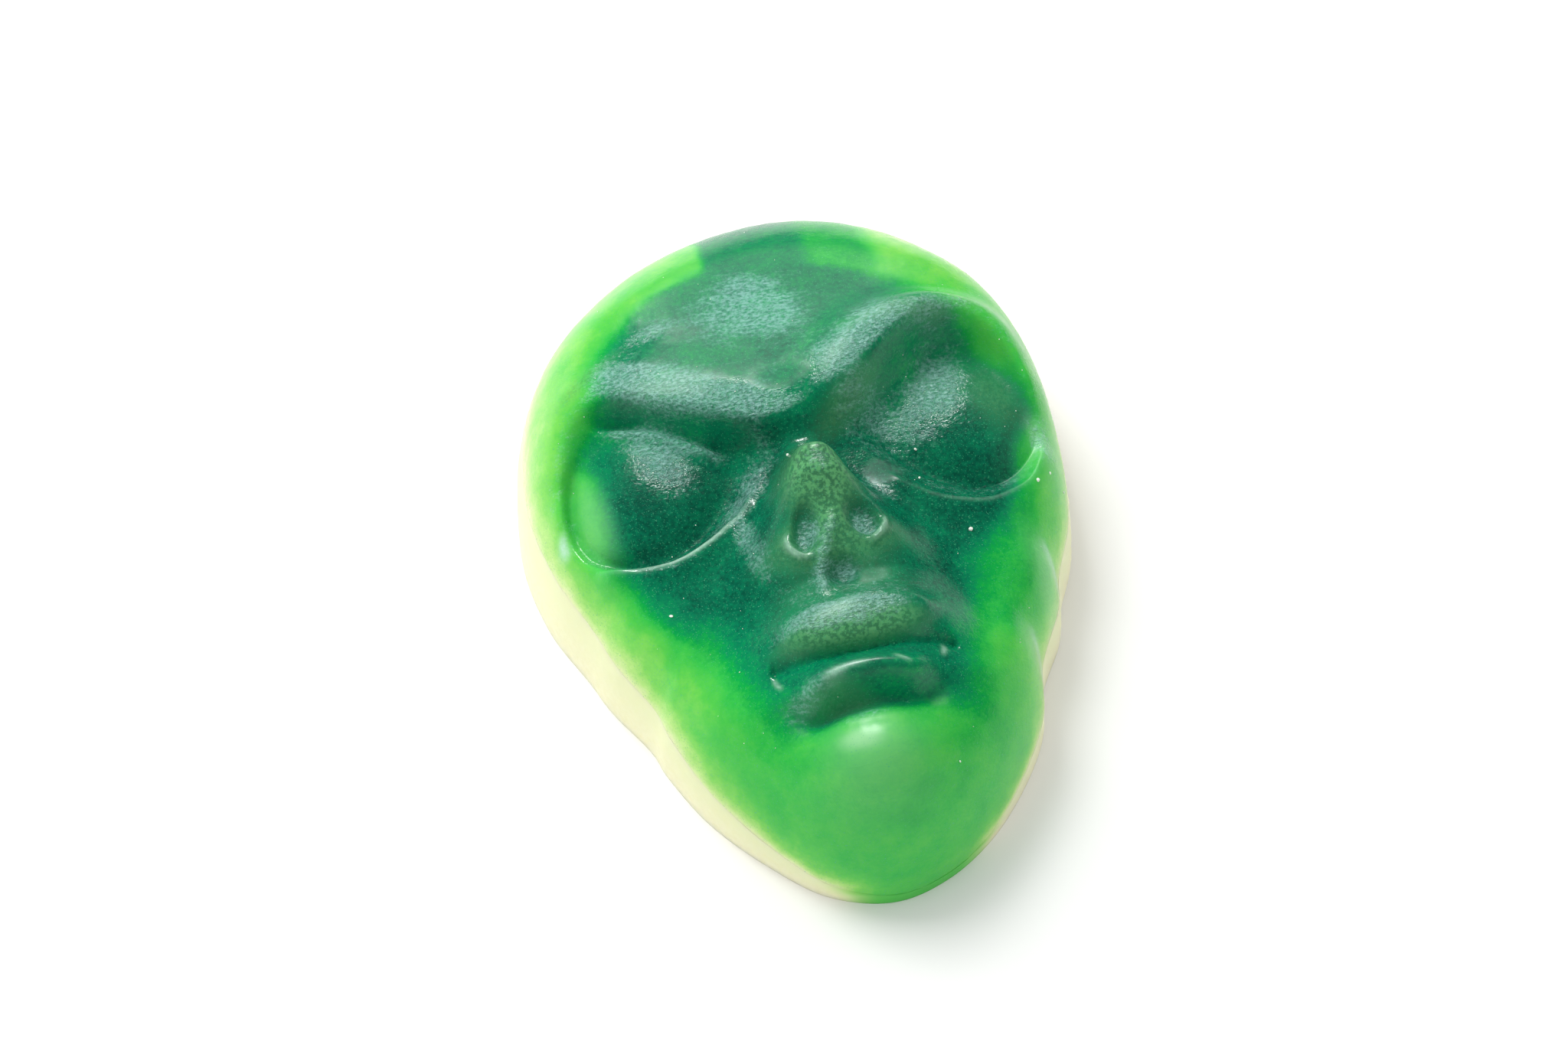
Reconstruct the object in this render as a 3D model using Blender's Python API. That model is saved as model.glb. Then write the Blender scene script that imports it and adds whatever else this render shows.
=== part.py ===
"""Foam-backed jelly sweet moulded as an alien's face, lying on its flat back.

Metres, +Z up. The face looks up along +Z, its crown points to +Y and its chin to -Y, and the
origin is the middle of the flat back. The relief is worked out in millimetres and turned into
metres when the meshes are made. Two bodies lie on each other: the cream foam back, which shows
as a rim all round the side, and the green jelly that carries the face.
"""

import math

import bmesh
import bpy
import numpy as np

MM = 0.001

# Driving dimensions, in millimetres.
LENGTH = 46.0
WIDTH = 33.0
CHEEK_HEIGHT = 9.8
FOREHEAD_HEIGHT = 12.3
CROWN_HEIGHT = 8.1
EYEBALL_FOOT = 8.0
EYEBALL_RISE = 2.5
NOSE_RISE = 5.1
MUZZLE_RISE = 2.9
CHIN_RISE = 2.0
LAYER_GAP = 0.3

# Seen from above, anticlockwise from the chin: the right side with its two jaw notches, the
# round crown, which leans to the right, and the left side with its notches.
OUTLINE = [
    (0.0, -23.0), (3.4, -22.2), (6.5, -20.2), (9.1, -17.4), (11.0, -14.4), (11.8, -11.4),
    (13.6, -8.3), (14.2, -6.2), (15.8, -2.6), (16.5, 2.6), (16.2, 9.4), (14.1, 15.5),
    (9.4, 20.7), (2.8, 23.0), (-5.2, 21.4), (-11.3, 17.2), (-15.1, 11.4), (-16.5, 4.6),
    (-15.9, -0.8), (-14.2, -5.0), (-13.3, -7.3), (-11.6, -10.4), (-11.0, -12.3),
    (-9.3, -15.8), (-6.6, -19.2), (-3.6, -21.9),
]
MIDDLE = (0.0, 3.0)

# Below, a form that changes along the face is given at a few stations, joined smoothly.
# The rounded side: how wide it is from chin to crown, and how it turns into the face.
SIDE_Y = [-23, -18, -12, -6, 2, 10, 17, 23]
SIDE_WIDTH = [8, 7, 5, 3.6, 3.4, 4.6, 7, 9]
SIDE_FALL = 2.5
SIDE_TURN = 2.3

# The middle line from chin to crown, and how much the face falls away beside it.
BROAD_Y = [-23, -16, -8, 1, 5, 9, 13, 17, 23]
BROAD_HEIGHT = [
    CHEEK_HEIGHT - 0.2, CHEEK_HEIGHT, CHEEK_HEIGHT + 0.4, CHEEK_HEIGHT + 1.0,
    FOREHEAD_HEIGHT - 0.5, FOREHEAD_HEIGHT, FOREHEAD_HEIGHT - 0.2,
    FOREHEAD_HEIGHT - 1.5, CROWN_HEIGHT,
]
FALL_Y = [-23, -6, 2, 8, 16, 23]
FALL_PER_MM2 = [0.010, 0.013, 0.010, 0.010, 0.012, 0.012]

# Where the green jelly ends and the foam begins, from chin to crown.
LAYER_Y = [-23, -20, -16, -8, 0, 12, 23]
LAYER_HEIGHT = [0.9, 1.6, 2.6, 4.2, 5.0, 5.2, 4.4]
LEAN_Y = [-23, -16, -8]
LAYER_LEAN = [0.09, 0.06, 0.03]

# Side (-1 left, 1 right), centre, and height over width of each eye. The eyes are
# egg-shaped, fuller at the temple and drawn out towards the nose.
EYES = ((-1, -9.0, 2.1, 5.1), (1, 9.5, 3.1, 4.9))
EYE_OUTER = 4.7
EYE_INNER = 5.9
EYE_DRAWN = 0.35
OUTWARD = [-6, -2, 2, 6]
SOCKET_SCALE = 1.16
SOCKET_DROP = 0.4
SOCKET_DEPTH = [0.8, 1.3, 1.3, 0.8]
SOCKET_WALL = (0.62, 1.04)
BALL_SCALE = 1.04
BALL_TILT = [0, 0.02, 0.2, 0.7]
BALL_SKIRT = 6.0
BALL_BLEND = 1.1

# The V of the brow and its two hooked ends, from the left temple to the right one: a flat-topped
# roll, steeper below than above.
BROW = [
    (-14.9, -0.6), (-15.2, 2.0), (-14.9, 4.2), (-14.0, 6.1), (-12.7, 7.2), (-11.0, 7.5),
    (-9.4, 6.9), (-7.6, 5.8), (-5.8, 4.8), (-3.8, 3.9), (-1.9, 3.6), (-0.5, 3.7),
    (1.0, 4.3), (2.6, 5.0), (4.3, 6.0), (6.0, 7.3),
    (8.0, 8.4), (10.4, 8.6), (12.8, 7.6), (14.4, 5.2), (15.0, 2.0),
]
BROW_X = [-15, -13, -10, -7, -4, -0.4, 1.5, 4, 8, 11, 13.5, 15]
BROW_RISE = [0.3, 0.5, 1.0, 1.4, 1.7, 1.6, 1.8, 2.3, 2.3, 1.8, 1.1, 0.6]
BROW_ABOVE_X = [-15, -11, -7, -0.4, 3, 6, 10, 15]
BROW_ABOVE = [1.2, 2.2, 3.3, 3.7, 3.1, 2.2, 1.5, 1.3]
BROW_BELOW_X = [-15, -7, -3, -0.4, 2, 4.5, 7, 9, 12, 15]
BROW_BELOW = [1.1, 1.0, 1.1, 1.4, 1.9, 2.2, 1.8, 1.2, 1.1, 1.1]
BROW_BLUNT_X = [-15, -11, -5, -1, 3, 7, 10, 15]
BROW_BLUNT = [2.0, 3.0, 3.4, 2.9, 2.6, 2.4, 2.4, 2.0]
BROW_BLUNT_ABOVE = 2.3
BROW_END = 0.06
BROW_SHELTER = 1.2

# The rim under each eye: crisp towards the eye, sloping off towards the cheek.
LEFT_LID = [
    (-3.2, -0.2), (-4.3, -1.9), (-5.4, -2.6), (-6.6, -3.2), (-8.3, -3.7), (-10.1, -3.7),
    (-12.2, -3.4), (-13.4, -2.6),
]
RIGHT_LID = [
    (3.9, -0.4), (4.6, -1.2), (5.5, -1.9), (6.8, -2.7), (8.0, -3.1), (9.6, -3.3),
    (11.1, -3.0), (13.2, -1.8), (14.9, 1.2),
]
LEFT_LID_RISE = 0.5
RIGHT_LID_RISE = 0.4
LID_INNER = 0.35
LID_OUTER = 1.2
LID_END = 0.12
# The broad rim round the outer corner of the left eye, and the crease between it and the ball.
EYE_RIM = [
    (-14.2, 3.0), (-14.7, 1.4), (-14.7, -0.2), (-14.3, -1.6), (-13.4, -2.8), (-12.2, -3.5),
    (-10.8, -3.8),
]
EYE_RIM_RISE = 0.45
EYE_RIM_WIDTH = 0.65
EYE_CREASE = [
    (-12.3, 5.0), (-13.0, 4.0), (-13.5, 2.9), (-13.75, 1.6), (-13.8, 0.5), (-13.6, -0.6),
    (-13.0, -1.7), (-12.0, -2.4), (-10.8, -2.7), (-9.4, -2.8),
]
EYE_CREASE_DEPTH = 0.55
EYE_CREASE_WIDTH = 0.42
EYE_RIM_END = 0.25
# The fold between the left eyeball and the brow over it, and the furrow above the fold.
UPPER_LID = [(-11.9, 4.9), (-11.0, 5.5), (-8.8, 4.8), (-6.6, 3.5), (-4.9, 2.4), (-3.9, 1.6)]
UPPER_FURROW = [(-12.0, 5.6), (-11.0, 6.1), (-8.6, 5.3), (-6.3, 4.0), (-4.6, 2.9), (-3.5, 1.9)]
UPPER_LID_RISE = 0.45
UPPER_LID_WIDTH = 0.5
UPPER_FURROW_WIDTH = 0.4
UPPER_LID_END = 0.2

# Depth, centre, half sizes and turn in degrees of the sunken cheeks.
CHEEK_HOLLOWS = ((0.7, -8.0, -10.6, 3.2, 4.0, 30), (0.6, 9.0, -9.8, 2.8, 4.2, -30))

# The block that carries nose and mouth.
MUZZLE_X = 0.4
MUZZLE_Y = [-17.2, -16.3, -15.6, -14.5, -13.4, -12.4, -11.0, -9.2, -7, -4.5, -2]
MUZZLE_SHARE = [0, 0.05, 0.20, 0.58, 0.66, 0.88, 1.0, 0.83, 0.69, 0.38, 0]
MUZZLE_WIDTH_Y = [-16, -14, -11.5, -8, -5, -2]
MUZZLE_HALF_WIDTH = [5.4, 6.2, 6.0, 5.2, 4.5, 3.4]
MUZZLE_BLUNT = 3.6

# The nose: a pyramid, its tip high over the steep back, its flat underside turned down.
NOSE_X = -0.1
NOSE_Y = [-8.2, -7.4, -6.2, -4, -2.4, -1.5, -0.6, 0.4, 1.6, 3.2]
NOSE_SHARE = [0, 0.12, 0.29, 0.63, 0.94, 1.0, 0.8, 0.41, 0.14, 0]
NOSE_WIDTH_Y = [-8, -7, -5.5, -3.4, -1.6, -0.6, 0.6]
NOSE_HALF_WIDTH = [4.9, 4.9, 4.4, 3.2, 2.1, 1.6, 1.3]
NOSE_BLUNT = 2.8
# Depth, centre, half sizes, turn in degrees and fullness of the pits under it.
NOSTRILS = ((0.7, -1.5, -5.4, 0.70, 1.3, -12, 2.4), (0.7, 1.8, -5.4, 0.85, 1.1, 35, 2.4))
PHILTRUM = (0.6, 0.1, -8.1, 0.85, 0.8, 0, 1.8)
LEFT_RIM = [(-2.6, -5.2), (-2.7, -6.1), (-2.3, -6.8), (-1.7, -7.1), (-1.2, -6.8)]
RIGHT_RIM = [(3.3, -4.9), (3.1, -5.8), (2.7, -6.3), (2.2, -6.7), (1.7, -6.8)]
SEPTUM = [
    (0.2, -4.6), (0.1, -5.3), (-0.3, -6.2), (-0.8, -7.1), (-1.15, -8.0), (-1.25, -9.0),
    (-0.9, -9.9),
]

# The recess of the mouth, with its upper and lower edge from corner to corner.
MOUTH_X = [-5.3, -4.9, -4.2, -3.0, -0.9, 1.2, 3.0, 4.2, 5.2, 5.9]
MOUTH_TOP = [-12.5, -12.3, -12.3, -12.5, -12.7, -12.65, -12.5, -12.4, -12.5, -12.9]
MOUTH_FOOT = [-12.9, -13.1, -13.2, -13.3, -13.3, -13.25, -13.2, -13.2, -13.3, -13.3]
MOUTH_DEPTH = 0.6
MOUTH_BLUNT = 1.7
MOUTH_END = 0.5

UPPER_LIP = [(-4.6, -10.9), (-2.4, -11.0), (-0.2, -10.8), (1.8, -10.6), (3.6, -11.0), (4.9, -12.0)]
LOWER_LIP = [
    (-4.3, -15.1), (-3.2, -15.1), (-2.3, -14.7), (-0.9, -14.5), (0.6, -14.5), (1.8, -14.7),
    (2.9, -15.0), (4.4, -15.1),
]
LIP_FOLD = [(-4.8, -15.2), (-3.2, -16.1), (-1.4, -15.7), (0.6, -15.5), (2.8, -15.7), (5.1, -15.1)]
# Each ridge or furrow that crosses the muzzle, as height, path, widths above and below it
# and the share of its length over which it comes up at its ends.
CREASES = (
    (0.35, LEFT_RIM, 0.24, 0.24, 0.30),
    (0.35, RIGHT_RIM, 0.24, 0.24, 0.30),
    (0.32, SEPTUM, 0.45, 0.45, 0.25),
    (0.5, UPPER_LIP, 0.9, 1.6, 0.12),
    (0.9, LOWER_LIP, 0.9, 0.9, 0.20),
    (-0.9, LIP_FOLD, 0.6, 0.6, 0.20),
)
# Rise, centre, half sizes, turn and fullness of the chin's bump.
CHIN = (CHIN_RISE, -0.5, -19.5, 4.4, 3.5, 0, 1.0)

# Rings of the meshes. Ring k of a disc has eight times k corners.
RING_CORNERS = 8
FACE_RINGS = 72
UNDERSIDE_RINGS = 18
FOAM_RINGS = 15
FOAM_WALL_STEPS = (0.0, 0.35, 0.7, 1.0)
CURVE_STEPS = 10
SIDE_LINE_STEPS = 720
SIDE_LINE_REACH = 3.0
SIDE_LINE_HALVINGS = 24
FACE_TRIANGLES = 10400


def smooth_curve(points, closed=False):
    """Catmull-Rom curve through the points."""
    p = np.array(points, float)
    count = len(p)
    t = np.arange(CURVE_STEPS)[:, None] / CURVE_STEPS
    runs = []
    for i in range(count if closed else count - 1):
        corners = [i + k if closed else min(max(i + k, 0), count - 1) for k in (-1, 0, 1, 2)]
        a, b, c, d = (p[k % count] for k in corners)
        runs.append(
            0.5 * (2 * b + (c - a) * t + (2 * a - 5 * b + 4 * c - d) * t**2)
            + 0.5 * (3 * b - 3 * c + d - a) * t**3
        )
    if not closed:
        runs.append(p[-1:])
    return np.concatenate(runs)


def station_curve(v, stations, values):
    """Smooth value at v between named stations, with no overshoot."""
    s = np.array(stations, float)
    q = np.array(values, float)
    rise = np.diff(q) / np.diff(s)
    slope = np.zeros(len(q))
    slope[0] = rise[0]
    slope[-1] = rise[-1]
    for i in range(1, len(q) - 1):
        if rise[i - 1] * rise[i] > 0:
            slope[i] = 2 * rise[i - 1] * rise[i] / (rise[i - 1] + rise[i])
    v = np.clip(v, s[0], s[-1])
    i = np.clip(np.searchsorted(s, v, side="right") - 1, 0, len(s) - 2)
    h = s[i + 1] - s[i]
    t = (v - s[i]) / h
    return (
        (2 * t**3 - 3 * t**2 + 1) * q[i]
        + (t**3 - 2 * t**2 + t) * h * slope[i]
        + (3 * t**2 - 2 * t**3) * q[i + 1]
        + (t**3 - t**2) * h * slope[i + 1]
    )


def ease(t):
    """0 below 0, 1 above 1, smooth between."""
    t = np.clip(t, 0, 1)
    return t * t * (3 - 2 * t)


def ellipse(x, y, cx, cy, rx, ry, turn=0.0):
    """0 at an ellipse's centre, 1 on its edge."""
    a = math.radians(turn)
    u = (x - cx) * math.cos(a) + (y - cy) * math.sin(a)
    v = (y - cy) * math.cos(a) - (x - cx) * math.sin(a)
    return np.sqrt((u / rx) ** 2 + (v / ry) ** 2)


def bell(x, y, cx, cy, rx, ry, turn=0.0, fullness=1.0):
    """1 at the centre, falling away outside the ellipse; a larger fullness has a flatter top."""
    return np.exp(-ellipse(x, y, cx, cy, rx, ry, turn) ** (2 * fullness))


def along_path(x, y, points):
    """Distance from a smooth path, share of its length, and whether left of its direction."""
    c = smooth_curve(points)
    run = np.diff(c, axis=0)
    length = np.hypot(run[:, 0], run[:, 1])
    start = np.concatenate([[0], np.cumsum(length)]) / length.sum()
    best = np.full(x.shape, np.inf)
    share = np.zeros(x.shape)
    left = np.zeros(x.shape, bool)
    for i, (rx, ry) in enumerate(run):
        dx = x - c[i, 0]
        dy = y - c[i, 1]
        t = np.clip((dx * rx + dy * ry) / length[i] ** 2, 0, 1)
        distance = np.hypot(dx - t * rx, dy - t * ry)
        nearer = distance < best
        best = np.where(nearer, distance, best)
        share = np.where(nearer, start[i] + t * (start[i + 1] - start[i]), share)
        left = np.where(nearer, rx * dy - ry * dx > 0, left)
    return best, share, left


def ridge(x, y, points, left_width, right_width, end):
    """1 on the path, falling away to each side and over a share of its length at the ends."""
    distance, share, left = along_path(x, y, points)
    width = np.where(left, left_width, right_width)
    return np.exp(-((distance / width) ** 2)) * ease(np.minimum(share, 1 - share) / end)


def outline_edge():
    """The outline as a closed smooth curve of the sweet's exact length and width."""
    edge = smooth_curve(OUTLINE, closed=True)
    low = edge.min(axis=0)
    high = edge.max(axis=0)
    return (edge - (low + high) / 2) * (WIDTH, LENGTH) / (high - low)


def outline_radius():
    """Function giving the outline's distance from MIDDLE in any direction."""
    edge = outline_edge() - MIDDLE
    angle = np.arctan2(edge[:, 1], edge[:, 0])
    order = np.argsort(angle)
    angle = angle[order]
    reach = np.hypot(edge[:, 0], edge[:, 1])[order]
    turn = 2 * math.pi
    angle = np.concatenate([angle - turn, angle, angle + turn])
    return lambda direction: np.interp(direction, angle, np.tile(reach, 3))


reach_of = outline_radius()


def inside_outline(x, y):
    """Distance to the outline, measured along the line from MIDDLE."""
    dx = x - MIDDLE[0]
    dy = y - MIDDLE[1]
    return np.maximum(reach_of(np.arctan2(dy, dx)) - np.hypot(dx, dy), 0)


def side_roll(x, y):
    """0 at the outline, 1 where the rounded side has turned into the face."""
    width = station_curve(y, SIDE_Y, SIDE_WIDTH)
    t = np.clip(inside_outline(x, y) / width, 0, 1)
    return np.clip(1 - (1 - t) ** SIDE_FALL, 0, 1) ** (1 / SIDE_TURN)


def broad_form(x, y):
    """The face without its features: chin, cheeks, forehead and falling crown."""
    middle = station_curve(y, BROAD_Y, BROAD_HEIGHT)
    return middle - station_curve(y, FALL_Y, FALL_PER_MM2) * x**2


def egg(x, y, side, cx, cy, half_height, scale):
    """0 at an eye's centre, 1 on its egg-shaped edge grown by a scale."""
    outward = (x - cx) * side
    half_width = np.where(outward > 0, EYE_OUTER, EYE_INNER) * scale
    drawn = 1 - EYE_DRAWN * np.clip(-outward / EYE_INNER, 0, 1) ** 1.5
    return np.sqrt((outward / half_width) ** 2 + ((y - cy) / (half_height * scale * drawn)) ** 2)


def smooth_upper(a, b, blend):
    """The upper one of two surfaces, with a fillet where their heights differ by less than blend."""
    share = np.clip(0.5 + 0.5 * (b - a) / blend, 0, 1)
    return a * (1 - share) + b * share + blend * share * (1 - share)


def with_eye(x, y, z, side, cx, cy, half_height):
    """A shallow socket that ends under the brow, and the bulging eyeball in it."""
    outward = (x - cx) * side
    socket = egg(x, y, side, cx, cy - SOCKET_DROP, half_height, SOCKET_SCALE)
    wall_foot, wall_top = SOCKET_WALL
    sunken = 1 - ease((socket - wall_foot) / (wall_top - wall_foot))
    distance, _, above = along_path(x, y, BROW)
    sunken = sunken * ease(np.where(above, 0, distance) / BROW_SHELTER)
    z = z - station_curve(outward, OUTWARD, SOCKET_DEPTH) * sunken
    ball = egg(x, y, side, cx, cy, half_height, BALL_SCALE)
    bulge = np.sqrt(np.clip(1 - ball**2, 0, 1)) - BALL_SKIRT * np.clip(ball - 1, 0, None)
    top = EYEBALL_FOOT + EYEBALL_RISE * bulge - station_curve(outward, OUTWARD, BALL_TILT)
    return smooth_upper(z, top, BALL_BLEND)


def brow(x, y):
    distance, share, above = along_path(x, y, BROW)
    rise = station_curve(x, BROW_X, BROW_RISE)
    width_above = station_curve(x, BROW_ABOVE_X, BROW_ABOVE)
    width_below = station_curve(x, BROW_BELOW_X, BROW_BELOW)
    blunt_below = station_curve(x, BROW_BLUNT_X, BROW_BLUNT)
    width = np.where(above, width_above, width_below)
    power = np.where(above, BROW_BLUNT_ABOVE, blunt_below)
    ends = ease(np.minimum(share, 1 - share) / BROW_END)
    return rise * np.exp(-((distance / width) ** power)) * ends


def lower_lids(x, y):
    left = ridge(x, y, LEFT_LID, LID_OUTER, LID_INNER, LID_END)
    right = ridge(x, y, RIGHT_LID, LID_INNER, LID_OUTER, LID_END)
    rim = ridge(x, y, EYE_RIM, EYE_RIM_WIDTH, EYE_RIM_WIDTH, EYE_RIM_END)
    crease = ridge(x, y, EYE_CREASE, EYE_CREASE_WIDTH, EYE_CREASE_WIDTH, EYE_RIM_END)
    sharp = LEFT_LID_RISE * left + RIGHT_LID_RISE * right
    return sharp + EYE_RIM_RISE * rim - EYE_CREASE_DEPTH * crease


def upper_lid(x, y):
    fold = ridge(x, y, UPPER_LID, UPPER_LID_WIDTH, UPPER_LID_WIDTH, UPPER_LID_END)
    furrow = ridge(x, y, UPPER_FURROW, UPPER_FURROW_WIDTH, UPPER_FURROW_WIDTH, UPPER_LID_END)
    return UPPER_LID_RISE * (fold - furrow)


def muzzle(x, y):
    share = station_curve(y, MUZZLE_Y, MUZZLE_SHARE)
    half_width = station_curve(y, MUZZLE_WIDTH_Y, MUZZLE_HALF_WIDTH)
    return MUZZLE_RISE * share * np.exp(-np.abs((x - MUZZLE_X) / half_width) ** MUZZLE_BLUNT)


def nose(x, y):
    share = station_curve(y, NOSE_Y, NOSE_SHARE)
    half_width = station_curve(y, NOSE_WIDTH_Y, NOSE_HALF_WIDTH)
    return NOSE_RISE * share * np.exp(-np.abs((x - NOSE_X) / half_width) ** NOSE_BLUNT)


def mouth(x, y):
    top = station_curve(x, MOUTH_X, MOUTH_TOP)
    foot = station_curve(x, MOUTH_X, MOUTH_FOOT)
    off_middle = np.abs(2 * y - top - foot) / (top - foot)
    ends = ease((x - MOUTH_X[0]) / MOUTH_END) * ease((MOUTH_X[-1] - x) / MOUTH_END)
    return -MOUTH_DEPTH * np.exp(-(off_middle**MOUTH_BLUNT)) * ends


def face_height(x, y):
    """Height of the sweet's upper surface over its flat back."""
    z = broad_form(x, y)
    for eye in EYES:
        z = with_eye(x, y, z, *eye)
    z = z + brow(x, y) + lower_lids(x, y) + upper_lid(x, y)
    z = z + muzzle(x, y) + nose(x, y) + mouth(x, y)
    for depth, *place in (*CHEEK_HOLLOWS, *NOSTRILS, PHILTRUM):
        z = z - depth * bell(x, y, *place)
    for rise, path, above, below, end in CREASES:
        z = z + rise * ridge(x, y, path, above, below, end)
    rise, *place = CHIN
    z = z + rise * bell(x, y, *place)
    return np.maximum(z * side_roll(x, y), 0)


def layer_height(x, y):
    """Height where foam and jelly meet: thick foam under the head, little under the chin."""
    return station_curve(y, LAYER_Y, LAYER_HEIGHT) - station_curve(y, LEAN_Y, LAYER_LEAN) * x


def directions(count):
    return np.arange(count) * 2 * math.pi / count


def side_line(raised):
    """Function giving the reach, in any direction, of a line on the rounded side that runs at
    a height over the layer line."""
    direction = directions(SIDE_LINE_STEPS)
    across = np.cos(direction)
    up = np.sin(direction)
    far = reach_of(direction)
    near = far - SIDE_LINE_REACH
    for _ in range(SIDE_LINE_HALVINGS):
        reach = (far + near) / 2
        x = MIDDLE[0] + across * reach
        y = MIDDLE[1] + up * reach
        low = face_height(x, y) < layer_height(x, y) + raised
        far = np.where(low, reach, far)
        near = np.where(low, near, reach)
    return lambda angle: np.interp(angle, direction, reach, period=2 * math.pi)


def add_ring(mesh, x, y, z):
    return [mesh.verts.new((px * MM, py * MM, pz * MM)) for px, py, pz in zip(x, y, z)]


def zip_rings(mesh, outer, inner):
    """Triangles between two rings that start in one direction, whatever their counts."""
    i = 0
    j = 0
    while i < len(outer) or j < len(inner):
        a = outer[i % len(outer)]
        b = inner[j % len(inner)]
        if j == len(inner) or (i < len(outer) and (i + 1) / len(outer) <= (j + 1) / len(inner)):
            i += 1
            mesh.faces.new((b, a, outer[i % len(outer)]))
        else:
            j += 1
            mesh.faces.new((b, a, inner[j % len(inner)]))


def add_cap(mesh, rim, rim_reach, rings, height):
    """Rings from a rim, given as its corners and its reach, to the middle of a surface."""
    outer = rim
    for k in range(rings, 0, -1):
        direction = directions(RING_CORNERS * k)
        reach = rim_reach(direction) * k / (rings + 1)
        x = MIDDLE[0] + np.cos(direction) * reach
        y = MIDDLE[1] + np.sin(direction) * reach
        inner = add_ring(mesh, x, y, height(x, y))
        zip_rings(mesh, outer, inner)
        outer = inner
    x = np.array([MIDDLE[0]])
    y = np.array([MIDDLE[1]])
    centre = add_ring(mesh, x, y, height(x, y))[0]
    for i, corner in enumerate(outer):
        mesh.faces.new((centre, corner, outer[(i + 1) % len(outer)]))


def jelly_mesh():
    """Face above, layer surface below, sharing the rim on the sweet's side."""
    mesh = bmesh.new()
    raised = LAYER_GAP / 2
    rim_reach = side_line(raised)

    def underside(x, y):
        return layer_height(x, y) + raised

    direction = directions(RING_CORNERS * FACE_RINGS)
    x = MIDDLE[0] + np.cos(direction) * rim_reach(direction)
    y = MIDDLE[1] + np.sin(direction) * rim_reach(direction)
    rim = add_ring(mesh, x, y, underside(x, y))
    add_cap(mesh, rim, rim_reach, FACE_RINGS - 1, face_height)
    add_cap(mesh, rim, rim_reach, UNDERSIDE_RINGS, underside)
    return mesh


def foam_mesh():
    """Flat back, rounded side up to the layer line, and the layer surface on top."""
    mesh = bmesh.new()
    raised = -LAYER_GAP / 2
    rim_reach = side_line(raised)

    def top(x, y):
        return layer_height(x, y) + raised

    direction = directions(RING_CORNERS * (FOAM_RINGS + 1))
    foot_reach = reach_of(direction)
    rings = []
    for step in FOAM_WALL_STEPS:
        reach = foot_reach + (rim_reach(direction) - foot_reach) * step**2
        x = MIDDLE[0] + np.cos(direction) * reach
        y = MIDDLE[1] + np.sin(direction) * reach
        rings.append(add_ring(mesh, x, y, top(x, y) * step))
    for lower, upper in zip(rings, rings[1:]):
        zip_rings(mesh, lower, upper)
    mesh.faces.new(rings[0])
    add_cap(mesh, rings[-1], rim_reach, FOAM_RINGS, top)
    return mesh


def make_material(name, colour, roughness):
    material = bpy.data.materials.new(name)
    material.use_nodes = True
    shader = material.node_tree.nodes["Principled BSDF"]
    shader.inputs["Base Color"].default_value = (*colour, 1.0)
    shader.inputs["Roughness"].default_value = roughness
    shader.inputs["Metallic"].default_value = 0.0
    return material


def make_object(name, mesh, material):
    bmesh.ops.recalc_face_normals(mesh, faces=mesh.faces)
    data = bpy.data.meshes.new(name)
    mesh.to_mesh(data)
    mesh.free()
    data.shade_smooth()
    data.set_sharp_from_angle(angle=math.radians(50))
    data.materials.append(material)
    part = bpy.data.objects.new(name, data)
    bpy.context.scene.collection.objects.link(part)
    return part


def thin_out(part, triangles):
    """Fewer triangles, kept where the relief is sharp."""
    thinner = part.modifiers.new("thinner", "DECIMATE")
    thinner.decimate_type = "COLLAPSE"
    thinner.ratio = triangles / len(part.data.polygons)
    thinner.use_collapse_triangulate = True


def clear_scene():
    for old in list(bpy.data.objects):
        bpy.data.objects.remove(old, do_unlink=True)


def main():
    clear_scene()
    foam = make_material("cream_foam", (0.90, 0.86, 0.53), 0.55)
    jelly = make_material("green_jelly", (0.01, 0.24, 0.08), 0.40)
    make_object("foam_back", foam_mesh(), foam)
    face = make_object("jelly_face", jelly_mesh(), jelly)
    thin_out(face, FACE_TRIANGLES)


main()
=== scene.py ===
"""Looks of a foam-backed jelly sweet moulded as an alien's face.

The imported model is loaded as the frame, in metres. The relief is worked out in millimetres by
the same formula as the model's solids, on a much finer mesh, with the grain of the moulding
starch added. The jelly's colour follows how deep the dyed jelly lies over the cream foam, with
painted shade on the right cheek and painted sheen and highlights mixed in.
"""

import math

import bpy
import numpy as np
from mathutils import Matrix


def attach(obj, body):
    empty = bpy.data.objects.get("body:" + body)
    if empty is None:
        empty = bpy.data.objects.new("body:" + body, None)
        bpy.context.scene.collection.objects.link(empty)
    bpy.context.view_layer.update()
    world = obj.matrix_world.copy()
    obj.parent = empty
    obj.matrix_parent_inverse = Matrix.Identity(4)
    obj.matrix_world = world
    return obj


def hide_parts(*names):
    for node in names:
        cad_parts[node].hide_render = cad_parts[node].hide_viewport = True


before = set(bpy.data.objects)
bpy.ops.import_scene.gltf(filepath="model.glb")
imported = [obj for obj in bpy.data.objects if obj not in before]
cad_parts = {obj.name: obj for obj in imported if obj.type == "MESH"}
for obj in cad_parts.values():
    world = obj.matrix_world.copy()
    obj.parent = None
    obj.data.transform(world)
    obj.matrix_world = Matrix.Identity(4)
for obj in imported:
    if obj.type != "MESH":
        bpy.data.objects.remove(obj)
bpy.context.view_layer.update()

MM = 0.001

# Driving dimensions, in millimetres.
LENGTH = 46.0
WIDTH = 33.0
CHEEK_HEIGHT = 9.8
FOREHEAD_HEIGHT = 12.3
CROWN_HEIGHT = 8.1
EYEBALL_FOOT = 8.0
EYEBALL_RISE = 2.5
NOSE_RISE = 5.1
MUZZLE_RISE = 2.9
CHIN_RISE = 2.0
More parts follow.
